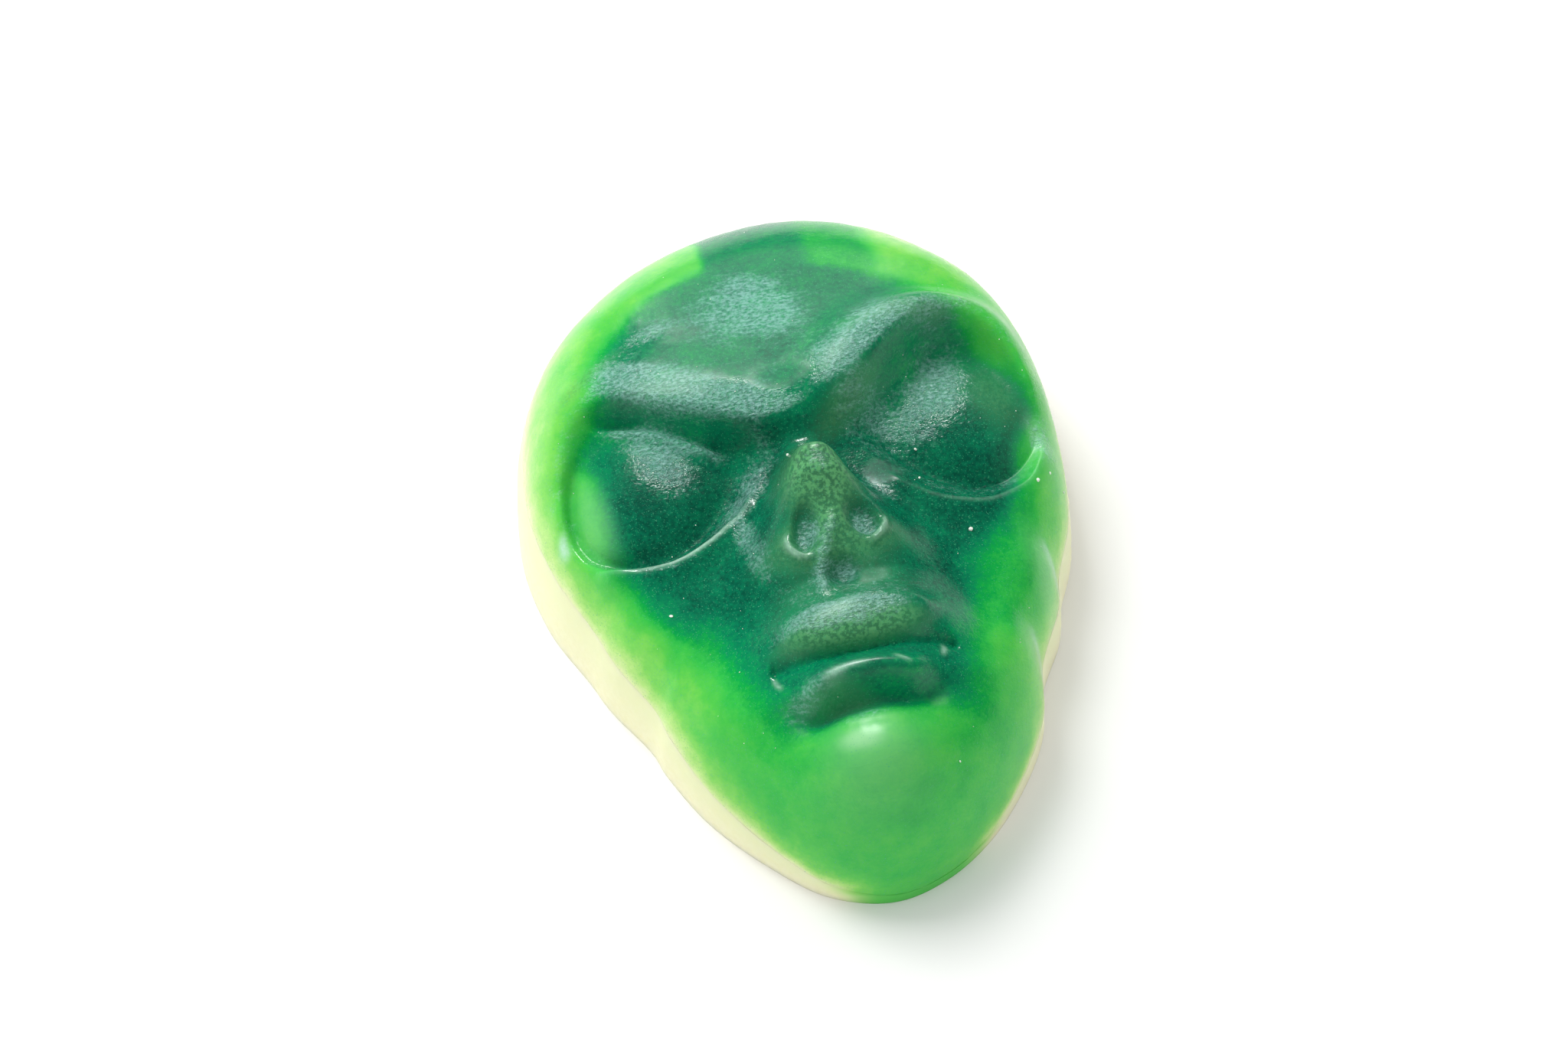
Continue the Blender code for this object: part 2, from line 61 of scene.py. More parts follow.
# Seen from above, anticlockwise from the chin: the right side with its two jaw notches, the
# round crown, which leans to the right, and the left side with its notches.
OUTLINE = [
    (0.0, -23.0), (3.4, -22.2), (6.5, -20.2), (9.1, -17.4), (11.0, -14.4), (11.8, -11.4),
    (13.6, -8.3), (14.2, -6.2), (15.8, -2.6), (16.5, 2.6), (16.2, 9.4), (14.1, 15.5),
    (9.4, 20.7), (2.8, 23.0), (-5.2, 21.4), (-11.3, 17.2), (-15.1, 11.4), (-16.5, 4.6),
    (-15.9, -0.8), (-14.2, -5.0), (-13.3, -7.3), (-11.6, -10.4), (-11.0, -12.3),
    (-9.3, -15.8), (-6.6, -19.2), (-3.6, -21.9),
]
MIDDLE = (0.0, 3.0)

# Below, a form that changes along the face is given at a few stations, joined smoothly.
# The rounded side: how wide it is from chin to crown, and how it turns into the face.
SIDE_Y = [-23, -18, -12, -6, 2, 10, 17, 23]
SIDE_WIDTH = [8, 7, 5, 3.6, 3.4, 4.6, 7, 9]
SIDE_FALL = 2.5
SIDE_TURN = 2.3

# The middle line from chin to crown, and how much the face falls away beside it.
BROAD_Y = [-23, -16, -8, 1, 5, 9, 13, 17, 23]
BROAD_HEIGHT = [
    CHEEK_HEIGHT - 0.2, CHEEK_HEIGHT, CHEEK_HEIGHT + 0.4, CHEEK_HEIGHT + 1.0,
    FOREHEAD_HEIGHT - 0.5, FOREHEAD_HEIGHT, FOREHEAD_HEIGHT - 0.2,
    FOREHEAD_HEIGHT - 1.5, CROWN_HEIGHT,
]
FALL_Y = [-23, -6, 2, 8, 16, 23]
FALL_PER_MM2 = [0.010, 0.013, 0.010, 0.010, 0.012, 0.012]

# Where the green jelly ends and the foam begins, from chin to crown.
LAYER_Y = [-23, -20, -16, -8, 0, 12, 23]
LAYER_HEIGHT = [0.9, 1.6, 2.6, 4.2, 5.0, 5.2, 4.4]
LEAN_Y = [-23, -16, -8]
LAYER_LEAN = [0.09, 0.06, 0.03]

# Side (-1 left, 1 right), centre, and height over width of each eye. The eyes are
# egg-shaped, fuller at the temple and drawn out towards the nose.
EYES = ((-1, -9.0, 2.1, 5.1), (1, 9.5, 3.1, 4.9))
EYE_OUTER = 4.7
EYE_INNER = 5.9
EYE_DRAWN = 0.35
OUTWARD = [-6, -2, 2, 6]
SOCKET_SCALE = 1.16
SOCKET_DROP = 0.4
SOCKET_DEPTH = [0.8, 1.3, 1.3, 0.8]
SOCKET_WALL = (0.62, 1.04)
BALL_SCALE = 1.04
BALL_TILT = [0, 0.02, 0.2, 0.7]
BALL_SKIRT = 6.0
BALL_BLEND = 1.1

# The V of the brow and its two hooked ends, from the left temple to the right one: a flat-topped
# roll, steeper below than above.
BROW = [
    (-14.9, -0.6), (-15.2, 2.0), (-14.9, 4.2), (-14.0, 6.1), (-12.7, 7.2), (-11.0, 7.5),
    (-9.4, 6.9), (-7.6, 5.8), (-5.8, 4.8), (-3.8, 3.9), (-1.9, 3.6), (-0.5, 3.7),
    (1.0, 4.3), (2.6, 5.0), (4.3, 6.0), (6.0, 7.3),
    (8.0, 8.4), (10.4, 8.6), (12.8, 7.6), (14.4, 5.2), (15.0, 2.0),
]
BROW_X = [-15, -13, -10, -7, -4, -0.4, 1.5, 4, 8, 11, 13.5, 15]
BROW_RISE = [0.3, 0.5, 1.0, 1.4, 1.7, 1.6, 1.8, 2.3, 2.3, 1.8, 1.1, 0.6]
BROW_ABOVE_X = [-15, -11, -7, -0.4, 3, 6, 10, 15]
BROW_ABOVE = [1.2, 2.2, 3.3, 3.7, 3.1, 2.2, 1.5, 1.3]
BROW_BELOW_X = [-15, -7, -3, -0.4, 2, 4.5, 7, 9, 12, 15]
BROW_BELOW = [1.1, 1.0, 1.1, 1.4, 1.9, 2.2, 1.8, 1.2, 1.1, 1.1]
BROW_BLUNT_X = [-15, -11, -5, -1, 3, 7, 10, 15]
BROW_BLUNT = [2.0, 3.0, 3.4, 2.9, 2.6, 2.4, 2.4, 2.0]
BROW_BLUNT_ABOVE = 2.3
BROW_END = 0.06
BROW_SHELTER = 1.2

# The rim under each eye: crisp towards the eye, sloping off towards the cheek.
LEFT_LID = [
    (-3.2, -0.2), (-4.3, -1.9), (-5.4, -2.6), (-6.6, -3.2), (-8.3, -3.7), (-10.1, -3.7),
    (-12.2, -3.4), (-13.4, -2.6),
]
RIGHT_LID = [
    (3.9, -0.4), (4.6, -1.2), (5.5, -1.9), (6.8, -2.7), (8.0, -3.1), (9.6, -3.3),
    (11.1, -3.0), (13.2, -1.8), (14.9, 1.2),
]
LEFT_LID_RISE = 0.5
RIGHT_LID_RISE = 0.4
LID_INNER = 0.35
LID_OUTER = 1.2
LID_END = 0.12
# The broad rim round the outer corner of the left eye, and the crease between it and the ball.
EYE_RIM = [
    (-14.2, 3.0), (-14.7, 1.4), (-14.7, -0.2), (-14.3, -1.6), (-13.4, -2.8), (-12.2, -3.5),
    (-10.8, -3.8),
]
EYE_RIM_RISE = 0.45
EYE_RIM_WIDTH = 0.65
EYE_CREASE = [
    (-12.3, 5.0), (-13.0, 4.0), (-13.5, 2.9), (-13.75, 1.6), (-13.8, 0.5), (-13.6, -0.6),
    (-13.0, -1.7), (-12.0, -2.4), (-10.8, -2.7), (-9.4, -2.8),
]
EYE_CREASE_DEPTH = 0.55
EYE_CREASE_WIDTH = 0.42
EYE_RIM_END = 0.25
# The fold between the left eyeball and the brow over it, and the furrow above the fold.
UPPER_LID = [(-11.9, 4.9), (-11.0, 5.5), (-8.8, 4.8), (-6.6, 3.5), (-4.9, 2.4), (-3.9, 1.6)]
UPPER_FURROW = [(-12.0, 5.6), (-11.0, 6.1), (-8.6, 5.3), (-6.3, 4.0), (-4.6, 2.9), (-3.5, 1.9)]
UPPER_LID_RISE = 0.45
UPPER_LID_WIDTH = 0.5
UPPER_FURROW_WIDTH = 0.4
UPPER_LID_END = 0.2

# Depth, centre, half sizes and turn in degrees of the sunken cheeks.
CHEEK_HOLLOWS = ((0.7, -8.0, -10.6, 3.2, 4.0, 30), (0.6, 9.0, -9.8, 2.8, 4.2, -30))

# The block that carries nose and mouth.
MUZZLE_X = 0.4
MUZZLE_Y = [-17.2, -16.3, -15.6, -14.5, -13.4, -12.4, -11.0, -9.2, -7, -4.5, -2]
MUZZLE_SHARE = [0, 0.05, 0.20, 0.58, 0.66, 0.88, 1.0, 0.83, 0.69, 0.38, 0]
MUZZLE_WIDTH_Y = [-16, -14, -11.5, -8, -5, -2]
MUZZLE_HALF_WIDTH = [5.4, 6.2, 6.0, 5.2, 4.5, 3.4]
MUZZLE_BLUNT = 3.6

# The nose: a pyramid, its tip high over the steep back, its flat underside turned down.
NOSE_X = -0.1
NOSE_Y = [-8.2, -7.4, -6.2, -4, -2.4, -1.5, -0.6, 0.4, 1.6, 3.2]
NOSE_SHARE = [0, 0.12, 0.29, 0.63, 0.94, 1.0, 0.8, 0.41, 0.14, 0]
NOSE_WIDTH_Y = [-8, -7, -5.5, -3.4, -1.6, -0.6, 0.6]
NOSE_HALF_WIDTH = [4.9, 4.9, 4.4, 3.2, 2.1, 1.6, 1.3]
NOSE_BLUNT = 2.8
# Depth, centre, half sizes, turn in degrees and fullness of the pits under it.
NOSTRILS = ((0.7, -1.5, -5.4, 0.70, 1.3, -12, 2.4), (0.7, 1.8, -5.4, 0.85, 1.1, 35, 2.4))
PHILTRUM = (0.6, 0.1, -8.1, 0.85, 0.8, 0, 1.8)
LEFT_RIM = [(-2.6, -5.2), (-2.7, -6.1), (-2.3, -6.8), (-1.7, -7.1), (-1.2, -6.8)]
RIGHT_RIM = [(3.3, -4.9), (3.1, -5.8), (2.7, -6.3), (2.2, -6.7), (1.7, -6.8)]
SEPTUM = [
    (0.2, -4.6), (0.1, -5.3), (-0.3, -6.2), (-0.8, -7.1), (-1.15, -8.0), (-1.25, -9.0),
    (-0.9, -9.9),
]

# The recess of the mouth, with its upper and lower edge from corner to corner.
MOUTH_X = [-5.3, -4.9, -4.2, -3.0, -0.9, 1.2, 3.0, 4.2, 5.2, 5.9]
MOUTH_TOP = [-12.5, -12.3, -12.3, -12.5, -12.7, -12.65, -12.5, -12.4, -12.5, -12.9]
MOUTH_FOOT = [-12.9, -13.1, -13.2, -13.3, -13.3, -13.25, -13.2, -13.2, -13.3, -13.3]
MOUTH_DEPTH = 0.6
MOUTH_BLUNT = 1.7
MOUTH_END = 0.5

UPPER_LIP = [(-4.6, -10.9), (-2.4, -11.0), (-0.2, -10.8), (1.8, -10.6), (3.6, -11.0), (4.9, -12.0)]
LOWER_LIP = [
    (-4.3, -15.1), (-3.2, -15.1), (-2.3, -14.7), (-0.9, -14.5), (0.6, -14.5), (1.8, -14.7),
    (2.9, -15.0), (4.4, -15.1),
]
LIP_FOLD = [(-4.8, -15.2), (-3.2, -16.1), (-1.4, -15.7), (0.6, -15.5), (2.8, -15.7), (5.1, -15.1)]
# Each ridge or furrow that crosses the muzzle, as height, path, widths above and below it
# and the share of its length over which it comes up at its ends.
CREASES = (
    (0.35, LEFT_RIM, 0.24, 0.24, 0.3),
    (0.35, RIGHT_RIM, 0.24, 0.24, 0.3),
    (0.32, SEPTUM, 0.45, 0.45, 0.25),
    (0.5, UPPER_LIP, 0.9, 1.6, 0.12),
    (0.9, LOWER_LIP, 0.9, 0.9, 0.2),
    (-0.9, LIP_FOLD, 0.6, 0.6, 0.2),
)
# Rise, centre, half sizes, turn and fullness of the chin's bump.
CHIN = (CHIN_RISE, -0.5, -19.5, 4.4, 3.5, 0, 1.0)

# Grains of starch left on the skin: the places of the few large ones that show singly, the
# number of the fine ones, their radii, and the least and the greatest scale.
LARGE_GRAINS = [
    (14.3, -1.3), (13.3, -2.1), (15.2, -1.5), (6.6, 0.8), (6.3, -1.3), (-1.1, 0.7), (8.5, -5.0),
    (4.4, -19.2), (-9.6, -6.8),
]
LARGE_GRAIN_RADIUS = 0.095
FINE_GRAINS = 70
FINE_GRAIN_RADIUS = 0.028
GRAIN_SCALE = (0.5, 1.5)
GRAIN_SEED = 31
GRAINS_INSIDE = 1.5

# The fine mesh: rings from the middle to the rim, set closer towards the rim.
RING_CORNERS = 8
JELLY_RINGS = 148
UNDERSIDE_RINGS = 18
FOAM_RINGS = 60
FOAM_WALL_RINGS = 34
RING_CROWDING = 1.35
CURVE_STEPS = 10
SIDE_LINE_STEPS = 1440
SIDE_LINE_REACH = 3.0
SIDE_LINE_HALVINGS = 24
LAYER_SEAM = 0.02
SMOOTH_BELOW = math.radians(50)

# Grain that the starch mould leaves on the skin: cell size, depth in millimetres and seed. It
# slants down the sides and fades out over the lowest bit of them.
SKIN_GRAIN = ((2.6, 0.012, 3), (0.9, 0.008, 5), (0.42, 0.010, 8))
FOAM_GRAIN = ((3.5, 0.050, 13), (0.8, 0.020, 17), (0.40, 0.014, 19))
GRAIN_SLANT = 0.7
GRAIN_FADE = 0.5
LATTICE_CELLS = 160

# Half width of the pool of deeply dyed jelly, left and right of the middle line, by height on
# the face, and how softly its left and right edges run out. A vivid green halo lies round it.
POOL_Y = [-15.7, -14, -12, -10, -8, -6, -4, -2, 0, 2, 4, 6, 7.5, 9, 11, 13, 14.2]
POOL_LEFT = [
    4.4, 5.4, 6.0, 6.6, 7.8, 9.6, 11.0, 11.4, 11.8, 12.1, 12.7, 11.9, 11.2, 10.4, 9.2, 6.6, 3.4,
]
POOL_RIGHT = [
    5.2, 5.9, 6.4, 6.7, 7.6, 9.2, 10.9, 12.0, 13.0, 13.5, 12.9, 11.4, 9.9, 8.2, 7.8, 6.0, 3.0,
]
POOL_SOFT_Y = [-8, -3, 6, 12]
POOL_SOFT_LEFT = [4.0, 2.6, 2.4, 3.2]
POOL_SOFT_RIGHT = [2.6, 1.4, 1.4, 3.0]
POOL_FOOT = (-16.3, -15.3)
POOL_FOOT_SHARE = 0.5
POOL_HEAD = (13.6, 14.8)
POOL_WANDER = (3.2, 0.7, 21)
POOL_DEPTH_Y = [-16, -12, -6, 0, 6, 12, 15]
POOL_DEPTH = [0.82, 0.87, 0.92, 0.95, 0.82, 0.82, 0.78]
HALO_Y = [-6, 1]
HALO_GROWN = [1.4, 0.7]
HALO_SOFT = (3.0, 2.2)
HALO_DEPTH = 0.65

# The second, smaller pool over the crown: its left edge is sharp, its right one soft.
CROWN_POOL_X = (-3.3, -2.4, 1.6, 3.4)
CROWN_GREEN_X = (-3.3, -2.4, 6.2, 8.0)
CROWN_POOL_Y = (12.6, 14.0)
CROWN_POOL_DEPTH = 0.79
CROWN_GREEN_DEPTH = 0.63

# Painted shade on the right cheek, as a patch of deeper colour given as the frost is below, and
# the depth that it comes to.
RIGHT_CHEEK_SHADE = ((0.85, 9.8, -8.2, 2.4, 4.2, -32, 1.8),)
RIGHT_CHEEK_SHADE_DEPTH = 0.63

# Thickness of jelly over which its colour deepens from cream to green along the left and the
# right rim, by height on the face, the depth that it comes to, and over what width in the middle
# the two sides meet.
RIM_Y = [-23, -18, -12, -6, 0, 5, 10, 15, 20]
RIM_LEFT = [0.8, 1.6, 2.6, 2.9, 3.4, 4.6, 5.4, 5.2, 6.0]
RIM_RIGHT = [0.6, 1.1, 2.6, 2.2, 1.8, 1.9, 4.0, 9.0, 12.0]
RIM_LEVEL_Y = [-17, -13]
RIM_LEVEL = [0.53, 0.475]
RIM_MEETING = 6.0
# Where the jelly has run down over the foam at the chin: the depth of colour that it gives,
# centre, half sizes, turn and fullness.
CHIN_STAIN = (0.46, 1.6, -22.4, 5.2, 3.6, 30, 2.0)
# The depth of colour in the crease round the left eyeball, and its half width.
CREASE_STAIN = (0.50, 0.6)

# Where starch has frosted the skin, with a painted sheen over it on the forehead, the eyeballs
# and the upper lip: strength, centre, half sizes, turn and fullness. The same for the gaps in the
# frost, which are painted shade, and for where the skin is smooth and dull.
FROST_AND_SHEEN = (
    # The forehead's frost, with a painted sheen on it.
    (0.85, -0.4, 11.2, 2.8, 1.6, -55, 1.2),
    (0.60, -1.8, 11.0, 4.0, 2.5, 10, 1.2),
    (0.50, -7.3, 10.8, 1.7, 0.9, 20, 1.2),
    (0.40, 7.5, 7.9, 3.6, 0.7, 12, 1.2),
    # The eyeballs' frost, with a painted sheen on it.
    (0.75, -8.3, 2.9, 2.5, 1.5, -56, 1.1),
    (0.80, 8.7, 4.5, 2.7, 1.9, 62, 1.1),
    (0.40, -3.6, -0.3, 1.2, 2.2, -30, 1.2),
    (0.50, 5.4, 2.6, 1.5, 2.8, 50, 1.2),
    (0.40, 3.8, -1.6, 0.9, 1.8, 35, 1.2),
    (0.50, 14.2, 0.8, 0.7, 1.4, 10, 1.2),
    (0.40, 0.0, -2.2, 0.9, 0.8, 0, 1.2),
    (0.70, -1.4, -5.7, 0.7, 1.0, -12, 1.5),
    (0.70, 1.9, -5.6, 0.8, 0.9, 35, 1.5),
    (0.60, 0.2, -8.0, 0.7, 0.5, 0, 1.2),
    (0.25, 0.0, -9.6, 4.1, 2.6, 0, 3.0),
    # The upper lip's frost, with a painted sheen on its crest.
    (0.85, -0.8, -11.1, 3.6, 0.8, 0, 1.6),
    (0.50, -4.4, -4.5, 0.7, 3.2, 8, 1.5),
    (0.40, -3.4, -15.0, 1.8, 0.8, 20, 1.3),
    (0.35, -0.7, -16.6, 1.8, 0.6, 0, 1.5),
)
# Painted shade: gaps in the frost and its painted sheen, at the middle of the brow and above the
# left brow.
PAINTED_SHADE_FROST_GAPS = ((0.90, 0.2, 4.9, 1.9, 1.3, 0, 1.4), (0.50, -6.6, 9.4, 2.0, 0.9, 20, 1.4))
DULL = (
    (0.34, -0.8, -17.8, 2.8, 1.7, 0, 2.0),
    (0.28, -0.6, -14.3, 3.4, 0.9, 0, 2.0),
    (0.90, 0.5, 12.4, 8.0, 3.4, 0, 2.5),
    (0.80, -2.0, 8.2, 6.0, 2.2, 0, 2.0),
    (0.95, -0.6, 5.4, 1.6, 0.9, 0, 2.0),
    (0.90, 4.4, -0.7, 1.1, 0.8, 0, 1.5),
    (0.60, 12.6, -0.8, 1.6, 1.6, 0, 1.5),
    (0.90, 1.6, -8.4, 0.9, 0.8, 0, 1.5),
    (0.90, 3.9, -15.9, 0.7, 0.6, 0, 1.5),
    (0.90, -4.1, -16.3, 0.7, 0.6, 0, 1.5),
)
# Frost with a painted sheen that lies along a line, given as the creases are.
FROST_AND_SHEEN_LINES = ((0.60, UPPER_LID, 0.5, 0.5, 0.2), (0.50, SEPTUM, 0.4, 0.4, 0.2))
# The frosted band on the flat top of the brow, with a painted sheen on it: strength, widths and
# bluntness above and below its line, and where it starts and ends.
BROW_FROST_AND_SHEEN = 0.95
BROW_FROST_AND_SHEEN_WIDTH = (1.9, 0.5)
BROW_FROST_AND_SHEEN_BLUNT = (2.0, 3.0)
BROW_FROST_AND_SHEEN_X = (-12.5, -9.5, 5.5, 8.5)
# Frost in the furrow round each eyeball: strength, and line and width as shares of the eye's size.
FURROW_FROST = (0.25, 1.10, 0.14)
# Where the jelly is milky, and a painted highlight on the chin's crest.
MILK_AND_HIGHLIGHT = (
    (0.30, -0.4, -19.2, 3.0, 2.2, 0, 1.3),
    # A painted highlight on the chin's crest.
    (0.70, -1.1, -18.2, 1.2, 0.6, -8, 1.6),
    (0.28, -12.6, 0.2, 0.9, 2.8, 6, 1.3),
    (0.40, 14.3, 0.9, 0.7, 1.5, 10, 1.2),
    (0.35, 12.9, -8.6, 1.0, 3.2, 14, 1.2),
)
# Fine lines of dry starch on the sharp edges and folds, and painted highlights on the crests of
# both lips, on the brows, at the mouth's corners and on the rim beside the left eye, given as the
# creases are.
CHALK_AND_HIGHLIGHTS = (
    (0.80, LEFT_LID, 0.16, 0.16, 0.45),
    (0.15, RIGHT_LID, 0.12, 0.12, 0.45),
    # A painted highlight on the rim beside the left eye.
    (0.95, [(-14.5, 0.8), (-14.6, -0.3), (-14.3, -1.3)], 0.26, 0.26, 0.5),
    # Painted highlights on the lower lip's crest.
    (0.55, [(-2.6, -14.8), (-1.7, -14.45), (-0.7, -14.3), (0.5, -14.3)], 0.16, 0.16, 0.4),
    (0.45, [(1.5, -13.9), (2.1, -14.3), (2.7, -14.7)], 0.13, 0.13, 0.4),
    (0.40, [(-2.8, -14.8), (-1.8, -14.5), (-0.9, -14.4)], 0.30, 0.30, 0.4),
    # Painted highlights along the brows.
    (0.35, [(-10.8, 7.4), (-9.0, 6.7), (-6.5, 5.8), (-3.5, 4.4)], 0.70, 0.50, 0.5),
    (0.35, [(1.2, 4.2), (2.6, 5.6), (4.4, 7.0)], 0.60, 0.50, 0.5),
    # A painted highlight on the upper lip's crest.
    (0.55, [(-2.8, -11.4), (-1.5, -11.1), (-0.2, -10.9), (1.0, -10.9)], 0.35, 0.35, 0.5),
    # Painted highlights at the mouth's corners.
    (0.50, [(4.7, -12.9), (4.8, -13.4), (4.5, -14.0)], 0.15, 0.15, 0.4),
    (0.45, [(-5.0, -12.9), (-4.95, -13.5), (-4.6, -14.1)], 0.12, 0.12, 0.4),
    (0.70, LEFT_RIM, 0.12, 0.12, 0.4),
    (0.70, RIGHT_RIM, 0.12, 0.12, 0.4),
    (0.50, [(12.7, -5.0), (13.3, -6.3), (13.9, -7.8)], 0.20, 0.35, 0.3),
    (0.45, [(10.9, -10.2), (11.2, -11.5), (11.6, -12.9)], 0.20, 0.35, 0.3),
)
# Where the jelly leans to olive: the nose, its wings, the lips and the backs of the brows. The
# pits do so less.
OLIVE = (
    (0.95, -0.1, -2.6, 2.2, 3.2, 0, 2.0),
    (0.60, 0.0, -6.2, 4.0, 1.6, 0, 2.5),
    (0.20, 0.0, -9.6, 4.1, 2.9, 0, 3.0),
    (0.85, -0.2, -11.9, 4.2, 0.9, 0, 3.0),
    (0.35, -2.2, -15.4, 2.6, 0.7, -8, 2.0),
    (0.50, 3.0, 3.4, 2.4, 0.8, 38, 1.3),
    (0.45, 12.0, 3.6, 1.6, 2.4, 15, 1.2),
    (0.60, 8.5, 8.3, 4.5, 0.6, 6, 1.5),
    (0.45, -11.2, 8.7, 2.2, 0.5, 30, 1.2),
)
PIT_CLEARNESS = 0.8

# Colour of the jelly by depth, from the bare rim to the deepest pool.
JELLY_STOPS = (
    (0.00, "F0F6C4"), (0.08, "DFF3AC"), (0.18, "BAE984"), (0.30, "84DA5C"), (0.42, "57CC4E"),
    (0.54, "33BE4A"), (0.64, "08A846"), (0.74, "029355"), (0.84, "017E55"), (0.93, "01694B"),
    (1.00, "01543F"),
)
FROST_AND_SHEEN_COLOUR = "ACE0DA"
MILK_AND_HIGHLIGHT_COLOUR = "A5E0A8"
CHALK_AND_HIGHLIGHT_COLOUR = "C4EBD6"
DOT_COLOUR = "4FB487"
OLIVE_COLOUR = "66B472"
DARK_OLIVE_COLOUR = "2E6142"
PAPER_COLOUR = "FCFCFB"
FOAM_STOPS = ((0.3, "F8F4C8"), (0.6, "FCF9D2"))
STARCH_STOPS = ((0.3, "E4F4E0"), (0.6, "F8FFF4"))

# Noises, each as cell size in millimetres, detail, roughness and how far it is drawn out. Those
# of the jelly are its marbling, mottle, grain, cloud, speckle and wrinkles.
JELLY_NOISES = (
    (2.2, 4.0, 0.6), (0.24, 2.0, 0.6), (0.22, 3.0, 0.65), (0.6, 4.0, 0.7, 3.0), (0.09, 1.0, 0.5),
    (0.17, 2.0, 0.6, 1.7),
)
FOAM_BUBBLES = (0.4, 3.0, 0.6)
STARCH_CRUST = (0.05, 2.0, 0.5)
# How far marbling shifts the depth of colour, and how far mottle does so by that depth.
MARBLING = 0.3
MOTTLING = (0.5, 0.8, 0.06, 0.32)
# Over which values of its noise each tint comes up, and its share there; how dry the starch is.
FLECKS = (0.35, 0.65, 0.405, 0.9)
DARK_FLECKS = (0.54, 0.44, 0.0, 0.6)
DOTS = (0.64, 0.72, 0.0, 0.5)
DRYNESS = 0.3
# How ragged the edges of the frost and its painted sheen are, where they set in, and how scaly
# they are.
RAGGED = 0.8
FROST_EDGE = (0.15, 0.75)
SCALES = (0.36, 0.64, 0.11, 0.51)
# Roughness of clear and of frosted skin, and what dull skin adds.
JELLY_ROUGHNESS = (0.22, 0.36)
DULL_ROUGHNESS = 0.5
# The relief: how much mottle counts in it, its middle value, and what clear and dull skin keep.
RELIEF_MOTTLE = 1.5
RELIEF_MIDDLE = 1.75
RELIEF_CLEAR = 0.1
RELIEF_DULL = (0.0, 0.25, 1.0, 0.1)
# Depth of the relief in each material, in millimetres.
JELLY_BUMP = 0.06
FOAM_BUMP = 0.03
STARCH_BUMP = 0.01


def smooth_curve(points, closed=False):
    """Catmull-Rom curve through the points."""
    p = np.array(points, float)
    count = len(p)
    t = np.arange(CURVE_STEPS)[:, None] / CURVE_STEPS
    runs = []
    for i in range(count if closed else count - 1):
        corners = [i + k if closed else min(max(i + k, 0), count - 1) for k in (-1, 0, 1, 2)]
        a, b, c, d = (p[k % count] for k in corners)
        runs.append(
            0.5 * (2 * b + (c - a) * t + (2 * a - 5 * b + 4 * c - d) * t**2)
            + 0.5 * (3 * b - 3 * c + d - a) * t**3
        )
    if not closed:
        runs.append(p[-1:])
    return np.concatenate(runs)


def station_curve(v, stations, values):
    """Smooth value at v between named stations, with no overshoot."""
    s = np.array(stations, float)
    q = np.array(values, float)
    rise = np.diff(q) / np.diff(s)
    slope = np.zeros(len(q))
    slope[0] = rise[0]
    slope[-1] = rise[-1]
    for i in range(1, len(q) - 1):
        if rise[i - 1] * rise[i] > 0:
            slope[i] = 2 * rise[i - 1] * rise[i] / (rise[i - 1] + rise[i])
    v = np.clip(v, s[0], s[-1])
    i = np.clip(np.searchsorted(s, v, side="right") - 1, 0, len(s) - 2)
    h = s[i + 1] - s[i]
    t = (v - s[i]) / h
    return (
        (2 * t**3 - 3 * t**2 + 1) * q[i]
        + (t**3 - 2 * t**2 + t) * h * slope[i]
        + (3 * t**2 - 2 * t**3) * q[i + 1]
        + (t**3 - t**2) * h * slope[i + 1]
    )


def ease(t):
    """0 below 0, 1 above 1, smooth between."""
    t = np.clip(t, 0, 1)
    return t * t * (3 - 2 * t)


def bell(x, y, cx, cy, rx, ry, turn=0.0, fullness=1.0):
    """1 at the centre, falling away outside the ellipse; a larger fullness has a flatter top."""
    a = math.radians(turn)
    u = (x - cx) * math.cos(a) + (y - cy) * math.sin(a)
    v = (y - cy) * math.cos(a) - (x - cx) * math.sin(a)
    return np.exp(-np.sqrt((u / rx) ** 2 + (v / ry) ** 2) ** (2 * fullness))


def along_path(x, y, points):
    """Distance from a smooth path, share of its length, and whether left of its direction."""
    c = smooth_curve(points)
    run = np.diff(c, axis=0)
    length = np.hypot(run[:, 0], run[:, 1])
    start = np.concatenate([[0], np.cumsum(length)]) / length.sum()
    best = np.full(x.shape, np.inf)
    share = np.zeros(x.shape)
    left = np.zeros(x.shape, bool)
    for i, (rx, ry) in enumerate(run):
        dx = x - c[i, 0]
        dy = y - c[i, 1]
        t = np.clip((dx * rx + dy * ry) / length[i] ** 2, 0, 1)
        distance = np.hypot(dx - t * rx, dy - t * ry)
        nearer = distance < best
        best = np.where(nearer, distance, best)
        share = np.where(nearer, start[i] + t * (start[i + 1] - start[i]), share)
        left = np.where(nearer, rx * dy - ry * dx > 0, left)
    return best, share, left


def ridge(x, y, points, left_width, right_width, end):
    """1 on the path, falling away to each side and over a share of its length at the ends."""
    distance, share, left = along_path(x, y, points)
    width = np.where(left, left_width, right_width)
    return np.exp(-((distance / width) ** 2)) * ease(np.minimum(share, 1 - share) / end)


def outline_edge():
    """The outline as a closed smooth curve of the sweet's exact length and width."""
    edge = smooth_curve(OUTLINE, closed=True)
    low = edge.min(axis=0)
    high = edge.max(axis=0)
    return (edge - (low + high) / 2) * (WIDTH, LENGTH) / (high - low)


